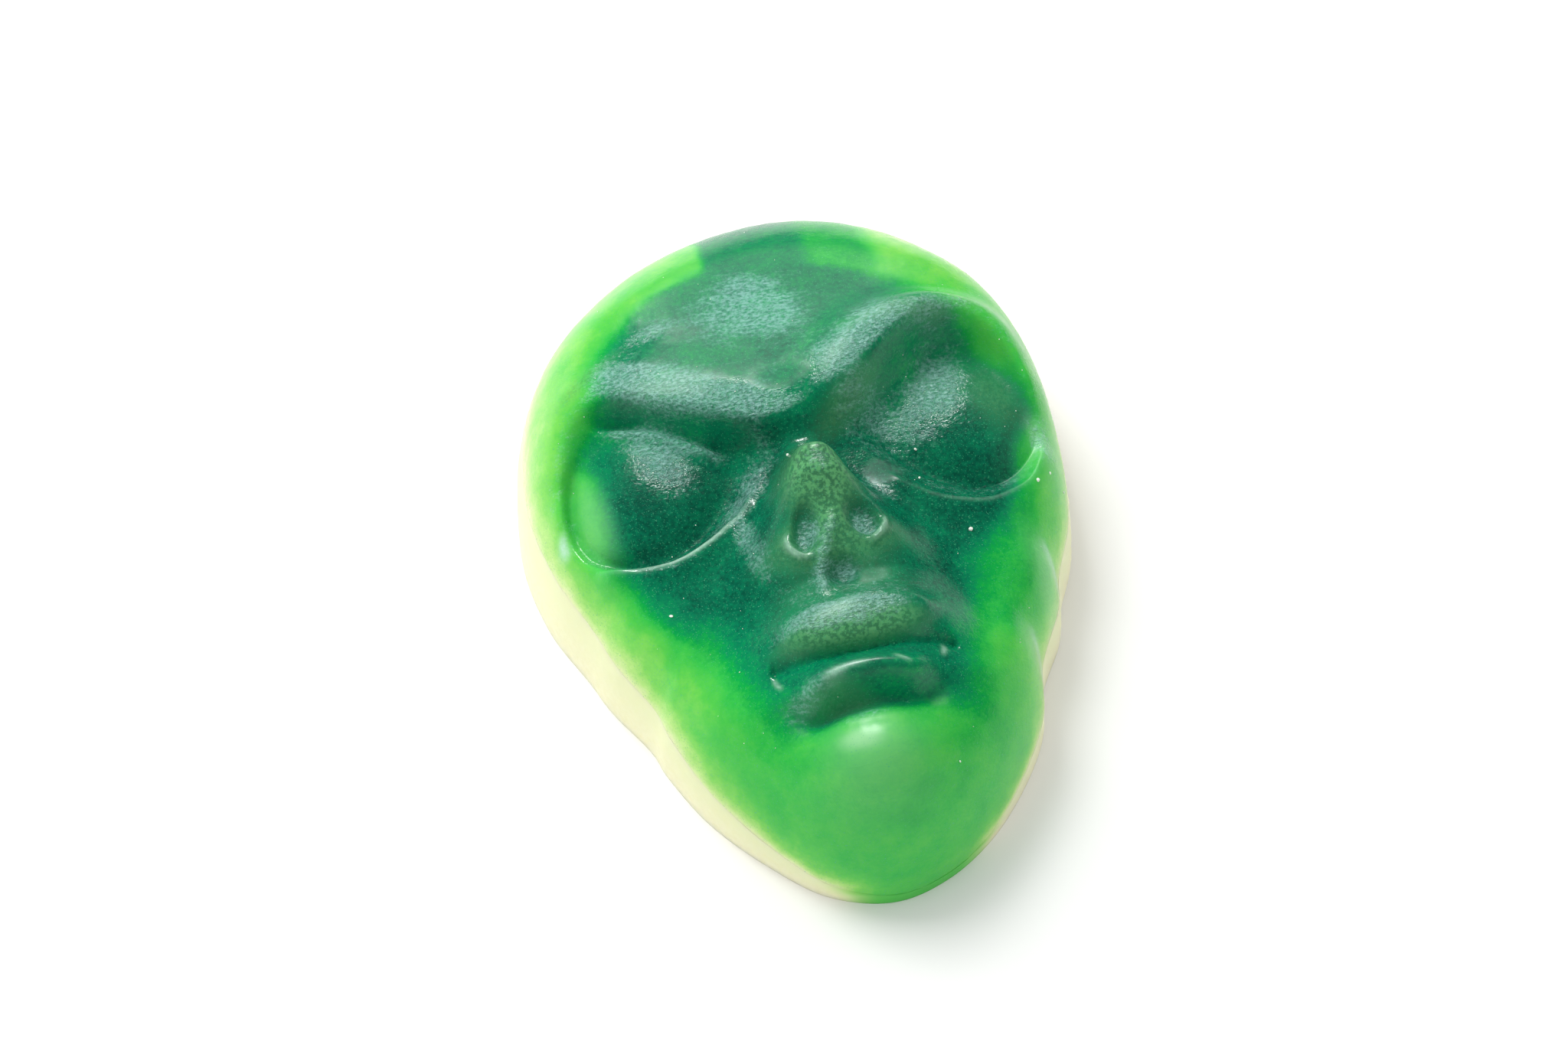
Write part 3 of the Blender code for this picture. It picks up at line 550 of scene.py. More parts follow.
def outline_radius():
    """Function giving the outline's distance from MIDDLE in any direction."""
    edge = outline_edge() - MIDDLE
    angle = np.arctan2(edge[:, 1], edge[:, 0])
    order = np.argsort(angle)
    angle = angle[order]
    reach = np.hypot(edge[:, 0], edge[:, 1])[order]
    turn = 2 * math.pi
    angle = np.concatenate([angle - turn, angle, angle + turn])
    return lambda direction: np.interp(direction, angle, np.tile(reach, 3))


reach_of = outline_radius()


def inside_outline(x, y):
    """Distance to the outline, measured along the line from MIDDLE."""
    dx = x - MIDDLE[0]
    dy = y - MIDDLE[1]
    return np.maximum(reach_of(np.arctan2(dy, dx)) - np.hypot(dx, dy), 0)


def side_roll(x, y):
    """0 at the outline, 1 where the rounded side has turned into the face."""
    width = station_curve(y, SIDE_Y, SIDE_WIDTH)
    t = np.clip(inside_outline(x, y) / width, 0, 1)
    return np.clip(1 - (1 - t) ** SIDE_FALL, 0, 1) ** (1 / SIDE_TURN)


def broad_form(x, y):
    """The face without its features: chin, cheeks, forehead and falling crown."""
    middle = station_curve(y, BROAD_Y, BROAD_HEIGHT)
    return middle - station_curve(y, FALL_Y, FALL_PER_MM2) * x**2


def egg(x, y, side, cx, cy, half_height, scale):
    """0 at an eye's centre, 1 on its egg-shaped edge grown by a scale."""
    outward = (x - cx) * side
    half_width = np.where(outward > 0, EYE_OUTER, EYE_INNER) * scale
    drawn = 1 - EYE_DRAWN * np.clip(-outward / EYE_INNER, 0, 1) ** 1.5
    return np.sqrt((outward / half_width) ** 2 + ((y - cy) / (half_height * scale * drawn)) ** 2)


def smooth_upper(a, b, blend):
    """The upper of two surfaces, with a fillet where their heights differ by less than blend."""
    share = np.clip(0.5 + 0.5 * (b - a) / blend, 0, 1)
    return a * (1 - share) + b * share + blend * share * (1 - share)


def with_eye(x, y, z, side, cx, cy, half_height):
    """A shallow socket that ends under the brow, and the bulging eyeball in it."""
    outward = (x - cx) * side
    socket = egg(x, y, side, cx, cy - SOCKET_DROP, half_height, SOCKET_SCALE)
    wall_foot, wall_top = SOCKET_WALL
    sunken = 1 - ease((socket - wall_foot) / (wall_top - wall_foot))
    distance, _, above = along_path(x, y, BROW)
    sunken = sunken * ease(np.where(above, 0, distance) / BROW_SHELTER)
    z = z - station_curve(outward, OUTWARD, SOCKET_DEPTH) * sunken
    ball = egg(x, y, side, cx, cy, half_height, BALL_SCALE)
    bulge = np.sqrt(np.clip(1 - ball**2, 0, 1)) - BALL_SKIRT * np.clip(ball - 1, 0, None)
    top = EYEBALL_FOOT + EYEBALL_RISE * bulge - station_curve(outward, OUTWARD, BALL_TILT)
    return smooth_upper(z, top, BALL_BLEND)


def brow(x, y):
    distance, share, above = along_path(x, y, BROW)
    rise = station_curve(x, BROW_X, BROW_RISE)
    width_above = station_curve(x, BROW_ABOVE_X, BROW_ABOVE)
    width_below = station_curve(x, BROW_BELOW_X, BROW_BELOW)
    blunt_below = station_curve(x, BROW_BLUNT_X, BROW_BLUNT)
    width = np.where(above, width_above, width_below)
    power = np.where(above, BROW_BLUNT_ABOVE, blunt_below)
    ends = ease(np.minimum(share, 1 - share) / BROW_END)
    return rise * np.exp(-((distance / width) ** power)) * ends


def lower_lids(x, y):
    left = ridge(x, y, LEFT_LID, LID_OUTER, LID_INNER, LID_END)
    right = ridge(x, y, RIGHT_LID, LID_INNER, LID_OUTER, LID_END)
    rim = ridge(x, y, EYE_RIM, EYE_RIM_WIDTH, EYE_RIM_WIDTH, EYE_RIM_END)
    crease = ridge(x, y, EYE_CREASE, EYE_CREASE_WIDTH, EYE_CREASE_WIDTH, EYE_RIM_END)
    sharp = LEFT_LID_RISE * left + RIGHT_LID_RISE * right
    return sharp + EYE_RIM_RISE * rim - EYE_CREASE_DEPTH * crease


def upper_lid(x, y):
    fold = ridge(x, y, UPPER_LID, UPPER_LID_WIDTH, UPPER_LID_WIDTH, UPPER_LID_END)
    furrow = ridge(x, y, UPPER_FURROW, UPPER_FURROW_WIDTH, UPPER_FURROW_WIDTH, UPPER_LID_END)
    return UPPER_LID_RISE * (fold - furrow)


def muzzle(x, y):
    share = station_curve(y, MUZZLE_Y, MUZZLE_SHARE)
    half_width = station_curve(y, MUZZLE_WIDTH_Y, MUZZLE_HALF_WIDTH)
    return MUZZLE_RISE * share * np.exp(-np.abs((x - MUZZLE_X) / half_width) ** MUZZLE_BLUNT)


def nose(x, y):
    share = station_curve(y, NOSE_Y, NOSE_SHARE)
    half_width = station_curve(y, NOSE_WIDTH_Y, NOSE_HALF_WIDTH)
    return NOSE_RISE * share * np.exp(-np.abs((x - NOSE_X) / half_width) ** NOSE_BLUNT)


def mouth(x, y):
    top = station_curve(x, MOUTH_X, MOUTH_TOP)
    foot = station_curve(x, MOUTH_X, MOUTH_FOOT)
    off_middle = np.abs(2 * y - top - foot) / (top - foot)
    ends = ease((x - MOUTH_X[0]) / MOUTH_END) * ease((MOUTH_X[-1] - x) / MOUTH_END)
    return -MOUTH_DEPTH * np.exp(-(off_middle**MOUTH_BLUNT)) * ends


def face_height(x, y):
    """Height of the sweet's upper surface over its flat back."""
    z = broad_form(x, y)
    for eye in EYES:
        z = with_eye(x, y, z, *eye)
    z = z + brow(x, y) + lower_lids(x, y) + upper_lid(x, y)
    z = z + muzzle(x, y) + nose(x, y) + mouth(x, y)
    for depth, *place in (*CHEEK_HOLLOWS, *NOSTRILS, PHILTRUM):
        z = z - depth * bell(x, y, *place)
    for rise, path, above, below, end in CREASES:
        z = z + rise * ridge(x, y, path, above, below, end)
    rise, *place = CHIN
    z = z + rise * bell(x, y, *place)
    return np.maximum(z * side_roll(x, y), 0)


def layer_height(x, y):
    """Height where foam and jelly meet: thick foam under the head, little under the chin."""
    return station_curve(y, LAYER_Y, LAYER_HEIGHT) - station_curve(y, LEAN_Y, LAYER_LEAN) * x


def directions(count):
    return np.arange(count) * 2 * math.pi / count


def from_middle(direction, reach):
    """The places at a reach from MIDDLE in given directions."""
    return MIDDLE[0] + np.cos(direction) * reach, MIDDLE[1] + np.sin(direction) * reach


def side_line(raised):
    """Function giving the reach, in any direction, of a line on the rounded side that runs at
    a height over the layer line."""
    direction = directions(SIDE_LINE_STEPS)
    far = reach_of(direction)
    near = far - SIDE_LINE_REACH
    for _ in range(SIDE_LINE_HALVINGS):
        reach = (far + near) / 2
        x, y = from_middle(direction, reach)
        low = face_height(x, y) < layer_height(x, y) + raised
        far = np.where(low, reach, far)
        near = np.where(low, near, reach)
    return lambda angle: np.interp(angle, direction, reach, period=2 * math.pi)


def lattice_noise(x, y, cell, seed):
    """Smooth noise between -1 and 1 with cells of one size, the same in every run."""
    size = LATTICE_CELLS
    grid = np.random.default_rng(seed).uniform(-1, 1, (size, size))
    u = x / cell + size / 2
    v = y / cell + size / 2
    i = np.floor(u).astype(int)
    j = np.floor(v).astype(int)
    s = ease(u - i)
    t = ease(v - j)
    i0, i1 = i % size, (i + 1) % size
    j0, j1 = j % size, (j + 1) % size
    low = grid[j0, i0] * (1 - s) + grid[j0, i1] * s
    high = grid[j1, i0] * (1 - s) + grid[j1, i1] * s
    return low * (1 - t) + high * t


def between(value, edges):
    """0 outside, 1 inside, smooth over the first and the last pair of four edges."""
    low_out, low_in, high_in, high_out = edges
    rise = ease((value - low_out) / (low_in - low_out))
    return rise * ease((high_out - value) / (high_out - high_in))


def jelly_depth(x, y, z):
    """How deep the dyed jelly looks, from 0 at the bare rim to 1 in the darkest pool."""
    side = ease(x / RIM_MEETING + 0.5)
    rim_width = station_curve(y, RIM_Y, RIM_LEFT) * (1 - side)
    rim_width += station_curve(y, RIM_Y, RIM_RIGHT) * side
    thickness = inside_outline(x, y) + np.maximum(z - layer_height(x, y), 0)
    level = station_curve(y, RIM_LEVEL_Y, RIM_LEVEL)
    depth = level * (1 - np.exp(-thickness / rim_width))
    depth = np.maximum(depth, chin_stain(x, y))
    strength, width = CREASE_STAIN
    depth += (strength - depth) * ridge(x, y, EYE_CREASE, width, width, EYE_RIM_END)
    cell, reach, seed = POOL_WANDER
    px = x + reach * lattice_noise(x, y, cell, seed)
    py = y + reach * lattice_noise(x, y, cell, seed + 1)
    low, high = CROWN_POOL_Y
    crown = ease((py - low) / (high - low))
    softness = [station_curve(y, POOL_SOFT_Y, soft) for soft in (POOL_SOFT_LEFT, POOL_SOFT_RIGHT)]
    for share, level in (
        (crown * between(x, CROWN_GREEN_X), CROWN_GREEN_DEPTH),
        # Painted shade: the right cheek's colour deepened.
        (patches(x, y, RIGHT_CHEEK_SHADE), RIGHT_CHEEK_SHADE_DEPTH),
        (pool(px, py, station_curve(y, HALO_Y, HALO_GROWN), HALO_SOFT), HALO_DEPTH),
        (crown * between(px, CROWN_POOL_X), CROWN_POOL_DEPTH),
        (pool(px, py, 0, softness), station_curve(y, POOL_DEPTH_Y, POOL_DEPTH)),
    ):
        depth += (level - depth) * share
    return depth


def pool(x, y, grown, softness):
    """1 inside the pool, grown to both sides, and 0 outside; each side has its own softness."""
    left = ease((x + station_curve(y, POOL_Y, POOL_LEFT) + grown) / softness[0] + 0.5)
    right = ease((station_curve(y, POOL_Y, POOL_RIGHT) + grown - x) / softness[1] + 0.5)
    foot_low, foot_high = POOL_FOOT
    head_low, head_high = POOL_HEAD
    foot = ease((y + grown * POOL_FOOT_SHARE - foot_low) / (foot_high - foot_low))
    return left * right * foot * ease((head_high - y) / (head_high - head_low))


def patches(x, y, places, shape=bell):
    """Soft patches of given strengths laid over each other; with the shape ridge, soft lines."""
    bare = np.ones_like(x)
    for strength, *place in places:
        bare = bare * (1 - strength * shape(x, y, *place))
    return 1 - bare


def frost_and_sheen(x, y):
    """Where starch has frosted the skin, partly with a painted sheen; its gaps are painted shade.
    """
    bare = 1 - patches(x, y, FROST_AND_SHEEN)
    distance, _, above = along_path(x, y, BROW)
    distance /= np.where(above, *BROW_FROST_AND_SHEEN_WIDTH)
    band = np.exp(-(distance ** np.where(above, *BROW_FROST_AND_SHEEN_BLUNT)))
    bare = bare * (1 - BROW_FROST_AND_SHEEN * band * between(x, BROW_FROST_AND_SHEEN_X))
    strength, line, spread = FURROW_FROST
    for side, cx, cy, half_height in EYES:
        size = egg(x, y, side, cx, cy, half_height, BALL_SCALE)
        bare = bare * (1 - strength * np.exp(-(((size - line) / spread) ** 2)))
    bare = bare * (1 - patches(x, y, FROST_AND_SHEEN_LINES, ridge))
    return (1 - bare) * (1 - patches(x, y, PAINTED_SHADE_FROST_GAPS))


def olive(x, y):
    """Where the jelly leans to olive; less so down in the pits."""
    pits = [(PIT_CLEARNESS, *place) for _, *place in (*NOSTRILS, PHILTRUM)]
    return patches(x, y, OLIVE) * (1 - patches(x, y, pits))


def chin_stain(x, y):
    """How far the jelly has run down over the foam at the chin."""
    return CHIN_STAIN[0] * bell(x, y, *CHIN_STAIN[1:])


def zip_rings(outer, inner):
    """Triangles between two rings of corners that start in one direction, whatever their counts."""
    faces = []
    i = 0
    j = 0
    while i < len(outer) or j < len(inner):
        a = outer[i % len(outer)]
        b = inner[j % len(inner)]
        if j == len(inner) or (i < len(outer) and (i + 1) / len(outer) <= (j + 1) / len(inner)):
            i += 1
            faces.append((b, a, outer[i % len(outer)]))
        else:
            j += 1
            faces.append((b, a, inner[j % len(inner)]))
    return faces


class Surface:
    """Points and faces of one piece, in millimetres, gathered ring by ring."""

    def __init__(self):
        self.points = []
        self.faces = []

    def add_ring(self, x, y, z):
        first = len(self.points)
        self.points.extend(zip(x, y, z))
        return list(range(first, len(self.points)))

    def add_cap(self, outer, rim_reach, rings, height, turned=False):
        """Rings from an outer one to the middle; a turned cap is an underside."""
        faces = []
        for k in range(rings, 0, -1):
            direction = directions(RING_CORNERS * k)
            inset = (1 - k / (rings + 1)) ** RING_CROWDING
            x, y = from_middle(direction, rim_reach(direction) * (1 - inset))
            inner = self.add_ring(x, y, height(x, y))
            faces.extend(zip_rings(outer, inner))
            outer = inner
        x, y = from_middle(np.zeros(1), 0.0)
        centre = self.add_ring(x, y, height(x, y))[0]
        for i, corner in enumerate(outer):
            faces.append((centre, corner, outer[(i + 1) % len(outer)]))
        self.faces.extend(face[::-1] if turned else face for face in faces)


def add_object(name, data):
    placed = bpy.data.objects.new(name, data)
    bpy.context.scene.collection.objects.link(placed)
    return placed


def make_piece(name, surface, material, grain):
    """A mesh object in metres, with its skin's grain pushed out along the normals."""
    data = bpy.data.meshes.new(name)
    points = np.array(surface.points)
    data.from_pydata((points * MM).tolist(), [], surface.faces)
    data.validate()
    normals = np.zeros(points.size)
    data.vertex_normals.foreach_get("vector", normals)
    bumps = np.zeros(len(points))
    x, y = points[:, :2].T + GRAIN_SLANT * points[:, 2]
    for cell, depth, seed in grain:
        bumps += depth * lattice_noise(x, y, cell, seed)
    bumps *= np.clip(points[:, 2] / GRAIN_FADE, 0, 1)
    points += normals.reshape(-1, 3) * bumps[:, None]
    data.vertices.foreach_set("co", (points * MM).ravel())
    data.update()
    data.shade_smooth()
    data.set_sharp_from_angle(angle=SMOOTH_BELOW)
    data.materials.append(material)
    return add_object(name, data)


def add_attribute(piece, name, values):
    attribute = piece.data.attributes.new(name, "FLOAT", "POINT")
    attribute.data.foreach_set("value", np.asarray(values, np.float32))


def make_jelly(material):
    """The face on top, down to the line where the foam begins, and the hidden underside."""
    surface = Surface()
    rim_reach = side_line(0.0)
    direction = directions(RING_CORNERS * (JELLY_RINGS + 1))
    x, y = from_middle(direction, rim_reach(direction))
    rim = surface.add_ring(x, y, layer_height(x, y))
    surface.add_cap(rim, rim_reach, JELLY_RINGS, face_height)
    surface.add_cap(rim, rim_reach, UNDERSIDE_RINGS, layer_height, turned=True)
    jelly = make_piece("jelly", surface, material, SKIN_GRAIN)
    x, y, z = np.array(surface.points).T
    for name, values in {
        "depth": jelly_depth(x, y, z), "frost_and_sheen": frost_and_sheen(x, y), "chalk_and_highlight": patches(x, y, CHALK_AND_HIGHLIGHTS, ridge),
        "milk_and_highlight": patches(x, y, MILK_AND_HIGHLIGHT), "dull": patches(x, y, DULL), "olive": olive(x, y),
    }.items():
        add_attribute(jelly, name, values)
    return jelly


def make_foam(material):
    """The flat back, the rounded side up to the jelly and the hidden upper surface."""
    surface = Surface()
    rim_reach = side_line(-LAYER_SEAM)
    direction = directions(RING_CORNERS * (FOAM_RINGS + 1))
    foot_reach = reach_of(direction)

    def top(x, y):
        return layer_height(x, y) - LAYER_SEAM

    def flat(x, y):
        return np.zeros_like(x)

    rings = []
    for k in range(FOAM_WALL_RINGS + 1):
        step = k / FOAM_WALL_RINGS
        reach = foot_reach + (rim_reach(direction) - foot_reach) * step**2
        x, y = from_middle(direction, reach)
        rings.append(surface.add_ring(x, y, top(x, y) * step))
    for lower, upper in zip(rings, rings[1:]):
        surface.faces.extend(zip_rings(lower, upper))
    surface.add_cap(rings[-1], rim_reach, UNDERSIDE_RINGS, top)
    surface.add_cap(rings[0], reach_of, UNDERSIDE_RINGS, flat, turned=True)
    foam = make_piece("foam", surface, material, FOAM_GRAIN)
    x, y, z = np.array(surface.points).T
    stain = chin_stain(x, y)
    add_attribute(foam, "depth", stain)
    add_attribute(foam, "stain", np.maximum(ease(z / top(x, y)), ease(stain / CHIN_STAIN[0])))
    return foam


def strewn_places(count, seed):
    """Places spread evenly over the face, inside its rounded side."""
    random = np.random.default_rng(seed)
    direction = random.uniform(0, 2 * math.pi, count)
    reach = (reach_of(direction) - GRAINS_INSIDE) * np.sqrt(random.uniform(0, 1, count))
    return np.stack(from_middle(direction, reach), 1)


def strew_grains(name, places, radius, seed, material):
    """Lumpy grains of one size, turned and scaled at random, laid on the face at given places."""
    x, y = np.array(places, float).T
    points = np.stack([x, y, face_height(x, y)], 1) * MM
    data = bpy.data.meshes.new(name)
    data.from_pydata(points.tolist(), [], [])
    piece = add_object(name, data)

    tree = bpy.data.node_groups.new(name, "GeometryNodeTree")
    tree.interface.new_socket("Places", in_out="INPUT", socket_type="NodeSocketGeometry")
    sizes = [
        tree.interface.new_socket(label, in_out="INPUT", socket_type="NodeSocketFloat")
        for label in ("Grain radius", "Least scale", "Greatest scale")
    ]
    tree.interface.new_socket("Grains", in_out="OUTPUT", socket_type="NodeSocketGeometry")
    given = tree.nodes.new("NodeGroupInput").outputs
    grain = add_node(
        tree, "GeometryNodeMeshIcoSphere", {"Radius": given["Grain radius"], "Subdivisions": 2}
    ).outputs["Mesh"]
    turn = add_node(
        tree, "FunctionNodeRandomValue", {"Max": (math.pi, math.pi, math.pi), "Seed": seed},
        data_type="FLOAT_VECTOR",
    ).outputs["Value"]
    scale = add_node(
        tree, "FunctionNodeRandomValue",
        {"Min": given["Least scale"], "Max": given["Greatest scale"], "Seed": seed + 1},
        data_type="FLOAT_VECTOR",
    ).outputs["Value"]
    laid = add_node(
        tree, "GeometryNodeInstanceOnPoints",
        {"Points": given["Places"], "Instance": grain, "Rotation": turn, "Scale": scale},
    ).outputs["Instances"]
    real = add_node(tree, "GeometryNodeRealizeInstances", {"Geometry": laid}).outputs["Geometry"]
    dressed = add_node(
        tree, "GeometryNodeSetMaterial", {"Geometry": real, "Material": material}
    ).outputs["Geometry"]
    add_node(tree, "NodeGroupOutput", {"Grains": dressed})

    strewing = piece.modifiers.new("strewing", "NODES")
    strewing.node_group = tree
    for socket, size in zip(sizes, (radius * MM, *GRAIN_SCALE)):
        strewing[socket.identifier] = size
    seen = piece.evaluated_get(bpy.context.evaluated_depsgraph_get())
    piece.data = bpy.data.meshes.new_from_object(seen)
    piece.modifiers.clear()
    return piece


def linear(hex_colour):
    """An sRGB hex colour as linear red, green, blue and alpha."""
    parts = [int(hex_colour[i : i + 2], 16) / 255 for i in (0, 2, 4)]
    return (*(c / 12.92 if c <= 0.04045 else ((c + 0.055) / 1.055) ** 2.4 for c in parts), 1.0)


def new_material(name):
    """An empty material and its node tree."""
    material = bpy.data.materials.new(name)
    material.use_nodes = True
    material.node_tree.nodes.clear()
    return material, material.node_tree


def add_node(tree, kind, inputs=None, **settings):
    """A node with its settings; each input is given as a value or as the socket that feeds it."""
    node = tree.nodes.new(kind)
    for name, value in settings.items():
        setattr(node, name, value)
    for name, value in (inputs or {}).items():
        if isinstance(value, bpy.types.NodeSocket):
            tree.links.new(value, node.inputs[name])
        else:
            node.inputs[name].default_value = value
    return node


def colour_ramp(tree, value, stops):
    """A value turned into a colour by stops, each a position and an sRGB hex colour."""
    node = add_node(tree, "ShaderNodeValToRGB", {"Fac": value})
    elements = node.color_ramp.elements
    while len(elements) < len(stops):
        elements.new(0.5)
    for element, (position, colour) in zip(elements, stops):
        element.position = position
        element.color = linear(colour)
    return node.outputs["Color"]


def attribute(tree, name):
    return add_node(tree, "ShaderNodeAttribute", attribute_name=name).outputs["Fac"]


def mixed(tree, share, below, above):
    inputs = {0: share, 6: below, 7: above}
    return add_node(tree, "ShaderNodeMix", inputs, data_type="RGBA").outputs[2]


def noise(tree, cell, detail, roughness, drawn_out=1.0):
    place = add_node(tree, "ShaderNodeTexCoord").outputs["Object"]
    drawn = add_node(
        tree, "ShaderNodeVectorMath", {0: place, 1: (1 / drawn_out, 1, 1)}, operation="MULTIPLY"
    ).outputs["Vector"]
    return add_node(
        tree, "ShaderNodeTexNoise",
        {"Vector": drawn, "Scale": 1 / (cell * MM), "Detail": detail, "Roughness": roughness},
    ).outputs["Fac"]


def bump(tree, height, strength, distance):
    """Normals of a skin whose relief has a height, a strength and a depth in millimetres."""
    inputs = {"Strength": strength, "Distance": distance * MM, "Height": height}
    return add_node(tree, "ShaderNodeBump", inputs).outputs["Normal"]


def with_shader(material, inputs):
    """The material, its surface shaded with given inputs."""
    tree = material.node_tree
    shader = add_node(tree, "ShaderNodeBsdfPrincipled", inputs).outputs["BSDF"]
    add_node(tree, "ShaderNodeOutputMaterial", {"Surface": shader})
    return material


def gelatine_jelly():
    """Dyed gelatine jelly cast in moulding starch and oiled: a waxy, slightly cloudy body whose
    colour deepens with its depth, and a finely grained skin that scatters the sheen. Painted sheen,
    painted highlights and painted shade are mixed into its colour."""
    material, tree = new_material("gelatine_jelly")
    depth, frost_and_sheen_share, chalk_and_highlight, milk_and_highlight, dull, olive_share = (
        attribute(tree, name) for name in ("depth", "frost_and_sheen", "chalk_and_highlight", "milk_and_highlight", "dull", "olive")
    )
    marbling, mottle, grain, cloud, speckle, wrinkles = (
        noise(tree, *kind) for kind in JELLY_NOISES
    )

    def math_node(operation, *values):
        inputs = dict(enumerate(values))
        return add_node(tree, "ShaderNodeMath", inputs, operation=operation).outputs[0]

    def stretched(value, low, high, to_low=0.0, to_high=1.0, **settings):
        inputs = {
            "Value": value, "From Min": low, "From Max": high, "To Min": to_low, "To Max": to_high,
        }
        return add_node(tree, "ShaderNodeMapRange", inputs, **settings).outputs["Result"]

    # The colour by depth, marbled all over and mottled where it is deep.
    shifted = math_node("MULTIPLY_ADD", math_node("SUBTRACT", marbling, 0.5), MARBLING, depth)
    mottling = stretched(depth, *MOTTLING)
    shifted = math_node("MULTIPLY_ADD", math_node("SUBTRACT", mottle, 0.5), mottling, shifted)
    colour = colour_ramp(tree, shifted, JELLY_STOPS)

    # Each tint, mixed in by its share: olive flecks, darker ones between them, milk with a painted
    # highlight on the chin, frost with painted sheen that is ragged and scaly, tiny dots, and dry
    # starch with painted highlights.
    flecks = math_node("MULTIPLY", olive_share, stretched(mottle, *FLECKS))
    dark_flecks = math_node("MULTIPLY", olive_share, stretched(mottle, *DARK_FLECKS))
    ragged_frost_and_sheen = math_node("MULTIPLY_ADD", math_node("ADD", cloud, grain), RAGGED, frost_and_sheen_share)
    ragged_frost_and_sheen = math_node("SUBTRACT", ragged_frost_and_sheen, RAGGED)
    frost_and_sheen_mask = stretched(ragged_frost_and_sheen, *FROST_EDGE, interpolation_type="SMOOTHSTEP")
    leathery_frost_and_sheen = math_node("MULTIPLY", frost_and_sheen_mask, stretched(wrinkles, *SCALES))
    dots = stretched(speckle, *DOTS)
    dry_starch_and_highlight = math_node("MULTIPLY", chalk_and_highlight, math_node("ADD", grain, DRYNESS))
    for share, tint in (
        (flecks, OLIVE_COLOUR), (dark_flecks, DARK_OLIVE_COLOUR), (milk_and_highlight, MILK_AND_HIGHLIGHT_COLOUR),
        (leathery_frost_and_sheen, FROST_AND_SHEEN_COLOUR), (dots, DOT_COLOUR), (dry_starch_and_highlight, CHALK_AND_HIGHLIGHT_COLOUR),
    ):
        colour = mixed(tree, share, colour, linear(tint))

    # Frosted, olive and dull skin is rougher; the relief shows where it is frosted and not dull.
    roughness = stretched(math_node("MAXIMUM", frost_and_sheen_mask, olive_share), 0.0, 1.0, *JELLY_ROUGHNESS)
    roughness = math_node("MULTIPLY_ADD", dull, DULL_ROUGHNESS, roughness)
    uneven = math_node("MULTIPLY_ADD", mottle, RELIEF_MOTTLE, stretched(wrinkles, *SCALES[:2]))
    uneven = math_node("SUBTRACT", math_node("ADD", grain, uneven), RELIEF_MIDDLE)
    relief = math_node("MULTIPLY", stretched(frost_and_sheen_mask, 0.0, 1.0, RELIEF_CLEAR, 1.0), uneven)
    relief = math_node("MULTIPLY", relief, stretched(dull, *RELIEF_DULL))
    return with_shader(material, {
        "Base Color": colour, "Roughness": roughness, "IOR": 1.45, "Specular IOR Level": 0.3,
        "Normal": bump(tree, relief, 1.0, JELLY_BUMP),
        "Subsurface Weight": 0.25, "Subsurface Radius": (0.8, 1.0, 0.6),
        "Subsurface Scale": 0.5 * MM,
    })


def whipped_foam():
    """Gelatine whipped with sugar: a dense, cream-coloured foam, matte and softly translucent."""
    material, tree = new_material("whipped_foam")
    bubbles = noise(tree, *FOAM_BUBBLES)
    cream = colour_ramp(tree, bubbles, FOAM_STOPS)
    green = colour_ramp(tree, attribute(tree, "depth"), JELLY_STOPS)
    colour = mixed(tree, attribute(tree, "stain"), cream, green)
    return with_shader(material, {
        "Base Color": colour, "Roughness": 0.5, "IOR": 1.42,
        "Normal": bump(tree, bubbles, 0.3, FOAM_BUMP),
        "Subsurface Weight": 0.5, "Subsurface Radius": (1.0, 0.9, 0.6),
        "Subsurface Scale": 0.8 * MM,
    })


def dry_starch():
    """Grains of dry moulding starch: white, matte and a little uneven."""
    material, tree = new_material("dry_starch")
    crust = noise(tree, *STARCH_CRUST)
    return with_shader(material, {
        "Base Color": colour_ramp(tree, crust, STARCH_STOPS), "Roughness": 0.6, "IOR": 1.5,
        "Normal": bump(tree, crust, 0.5, STARCH_BUMP),
    })


def white_paper():
    """Matte white paper under the sweet."""
    material, _ = new_material("white_paper")
    return with_shader(material, {
        "Base Color": linear(PAPER_COLOUR), "Roughness": 0.9, "Specular IOR Level": 0.1,
    })


# The stage, in metres and watts: a large floor, a pale surround that is brighter behind the
# crown, and two soft lamps behind and above, as place, size and power.
FLOOR_HALF = 1.5
SURROUND_LIGHT = 0.9
SURROUND_LEAN = (-0.1, 0.2, -0.25)
LAMPS = (("window", (0.05, 0.32, 0.355), 0.11, 3.4), ("sky", (-0.13, 0.21, 0.37), 0.18, 1.1))

# The camera, in millimetres and pixels of the 2048 x 1360 frame.
FRAME_WIDTH = 2048
FRAME_HEIGHT = 1360
LENS = 100.0
SENSOR = 36.0
CLIP_START = 10.0
VIEW_SIDE = -0.13
VIEW_FOOT = -0.53
VIEW_ROLL = math.radians(15)
VIEW_DISTANCE = 256.0
VIEW_TARGET = np.array([-1.8, -2.0, 5.0])
TARGET_PIXEL = (1025, 730)


def make_floor():
    data = bpy.data.meshes.new("floor")
    s = FLOOR_HALF
    data.from_pydata([(-s, -s, 0), (s, -s, 0), (s, s, 0), (-s, s, 0)], [], [(0, 1, 2, 3)])
    data.materials.append(white_paper())
    floor = add_object("floor", data)


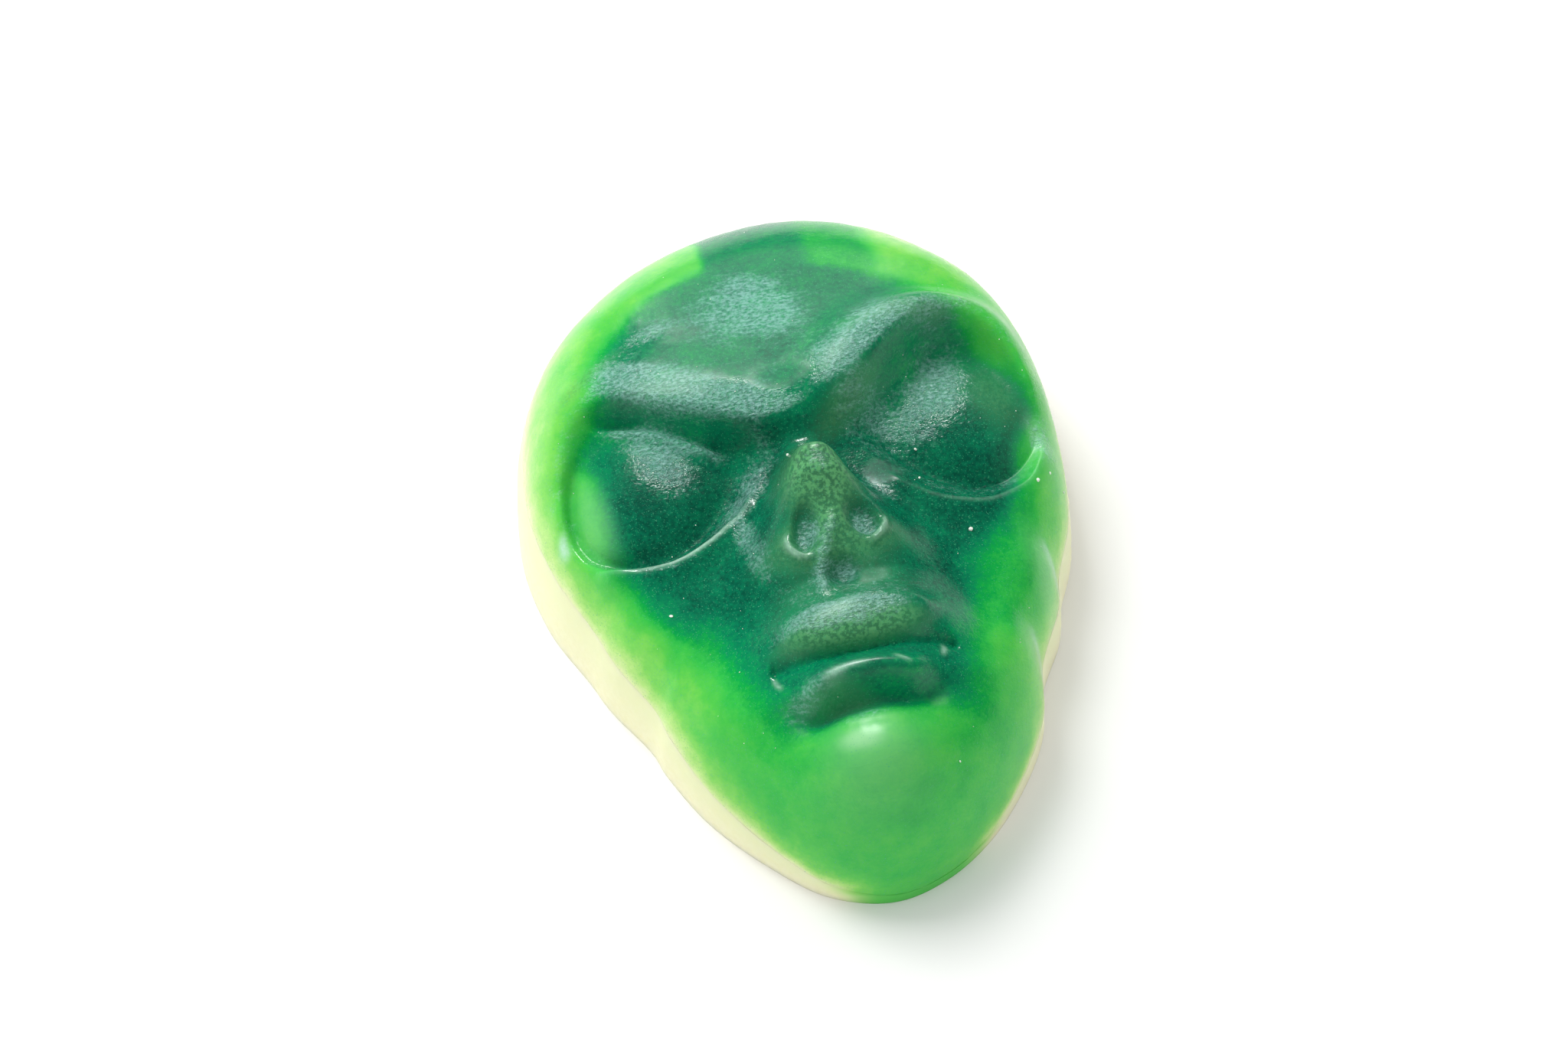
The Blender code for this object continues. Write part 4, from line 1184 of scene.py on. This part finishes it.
def make_surround():
    """A pale surround that grows brighter towards the back. The sheen doesn't meet it."""
    world = bpy.data.worlds.new("surround")
    world.use_nodes = True
    tree = world.node_tree
    direction = add_node(tree, "ShaderNodeTexCoord").outputs["Generated"]
    lean = add_node(
        tree, "ShaderNodeVectorMath", {0: direction, 1: SURROUND_LEAN}, operation="DOT_PRODUCT"
    ).outputs["Value"]
    soft = add_node(
        tree, "ShaderNodeMath", {0: lean, 1: SURROUND_LIGHT}, operation="ADD"
    ).outputs[0]
    glossy = add_node(tree, "ShaderNodeLightPath").outputs["Is Glossy Ray"]
    strength = add_node(
        tree, "ShaderNodeMix", {0: glossy, 2: soft, 3: 0.0}, data_type="FLOAT"
    ).outputs[0]
    background = tree.nodes["Background"].inputs
    tree.links.new(strength, background["Strength"])
    background["Color"].default_value = (1.0, 1.0, 1.0, 1.0)
    bpy.context.scene.world = world


def make_lamps():
    """The window, which gives the sheen, and the softer light of the sky beside it."""
    for name, place, size, power in LAMPS:
        data = bpy.data.lights.new(name, "AREA")
        data.size = size
        data.energy = power
        light = add_object(name, data)
        light.matrix_world = looking_from(place, np.array(place), 0.0)
        light.visible_diffuse = name == "sky"
        light.visible_glossy = name == "window"


def looking_from(place, back, roll):
    """Matrix of a camera or lamp at a place, its back turned along a direction."""
    back = back / np.linalg.norm(back)
    up = np.array([0.0, 1.0, 0.0]) - back * back[1]
    up /= np.linalg.norm(up)
    right = np.cross(up, back)
    across = right * math.cos(roll) - up * math.sin(roll)
    along = right * math.sin(roll) + up * math.cos(roll)
    columns = (across, along, back, place)
    rows = [[float(column[i]) for column in columns] for i in range(3)]
    return Matrix((*rows, (0.0, 0.0, 0.0, 1.0)))


def make_camera():
    """The camera looks down on the face from below the chin, rolled so that the crown leans."""
    back = np.array([VIEW_SIDE, VIEW_FOOT, math.sqrt(1 - VIEW_SIDE**2 - VIEW_FOOT**2)])
    axes = np.array(looking_from(np.zeros(3), back, VIEW_ROLL))[:3, :3]
    focal = LENS / SENSOR * FRAME_WIDTH
    across = (TARGET_PIXEL[0] - FRAME_WIDTH / 2) / focal * VIEW_DISTANCE
    up = -(TARGET_PIXEL[1] - FRAME_HEIGHT / 2) / focal * VIEW_DISTANCE
    place = (VIEW_TARGET - axes @ np.array([across, up, -VIEW_DISTANCE])) * MM
    data = bpy.data.cameras.new("camera")
    data.lens = LENS
    data.sensor_width = SENSOR
    data.clip_start = CLIP_START * MM
    camera = add_object("camera", data)
    camera.matrix_world = looking_from(place, back, VIEW_ROLL)
    bpy.context.scene.camera = camera


def main():
    bpy.context.scene.view_settings.view_transform = "Standard"
    make_camera()
    make_surround()
    make_lamps()
    make_floor()
    jelly = make_jelly(gelatine_jelly())
    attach(jelly, "root")
    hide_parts("jelly_face")
    foam = make_foam(whipped_foam())
    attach(foam, "root")
    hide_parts("foam_back")
    starch = dry_starch()
    for name, places, radius in (
        ("large_grains", LARGE_GRAINS, LARGE_GRAIN_RADIUS),
        ("fine_grains", strewn_places(FINE_GRAINS, GRAIN_SEED), FINE_GRAIN_RADIUS),
    ):
        grains = strew_grains(name, places, radius, GRAIN_SEED, starch)
        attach(grains, "root")


main()
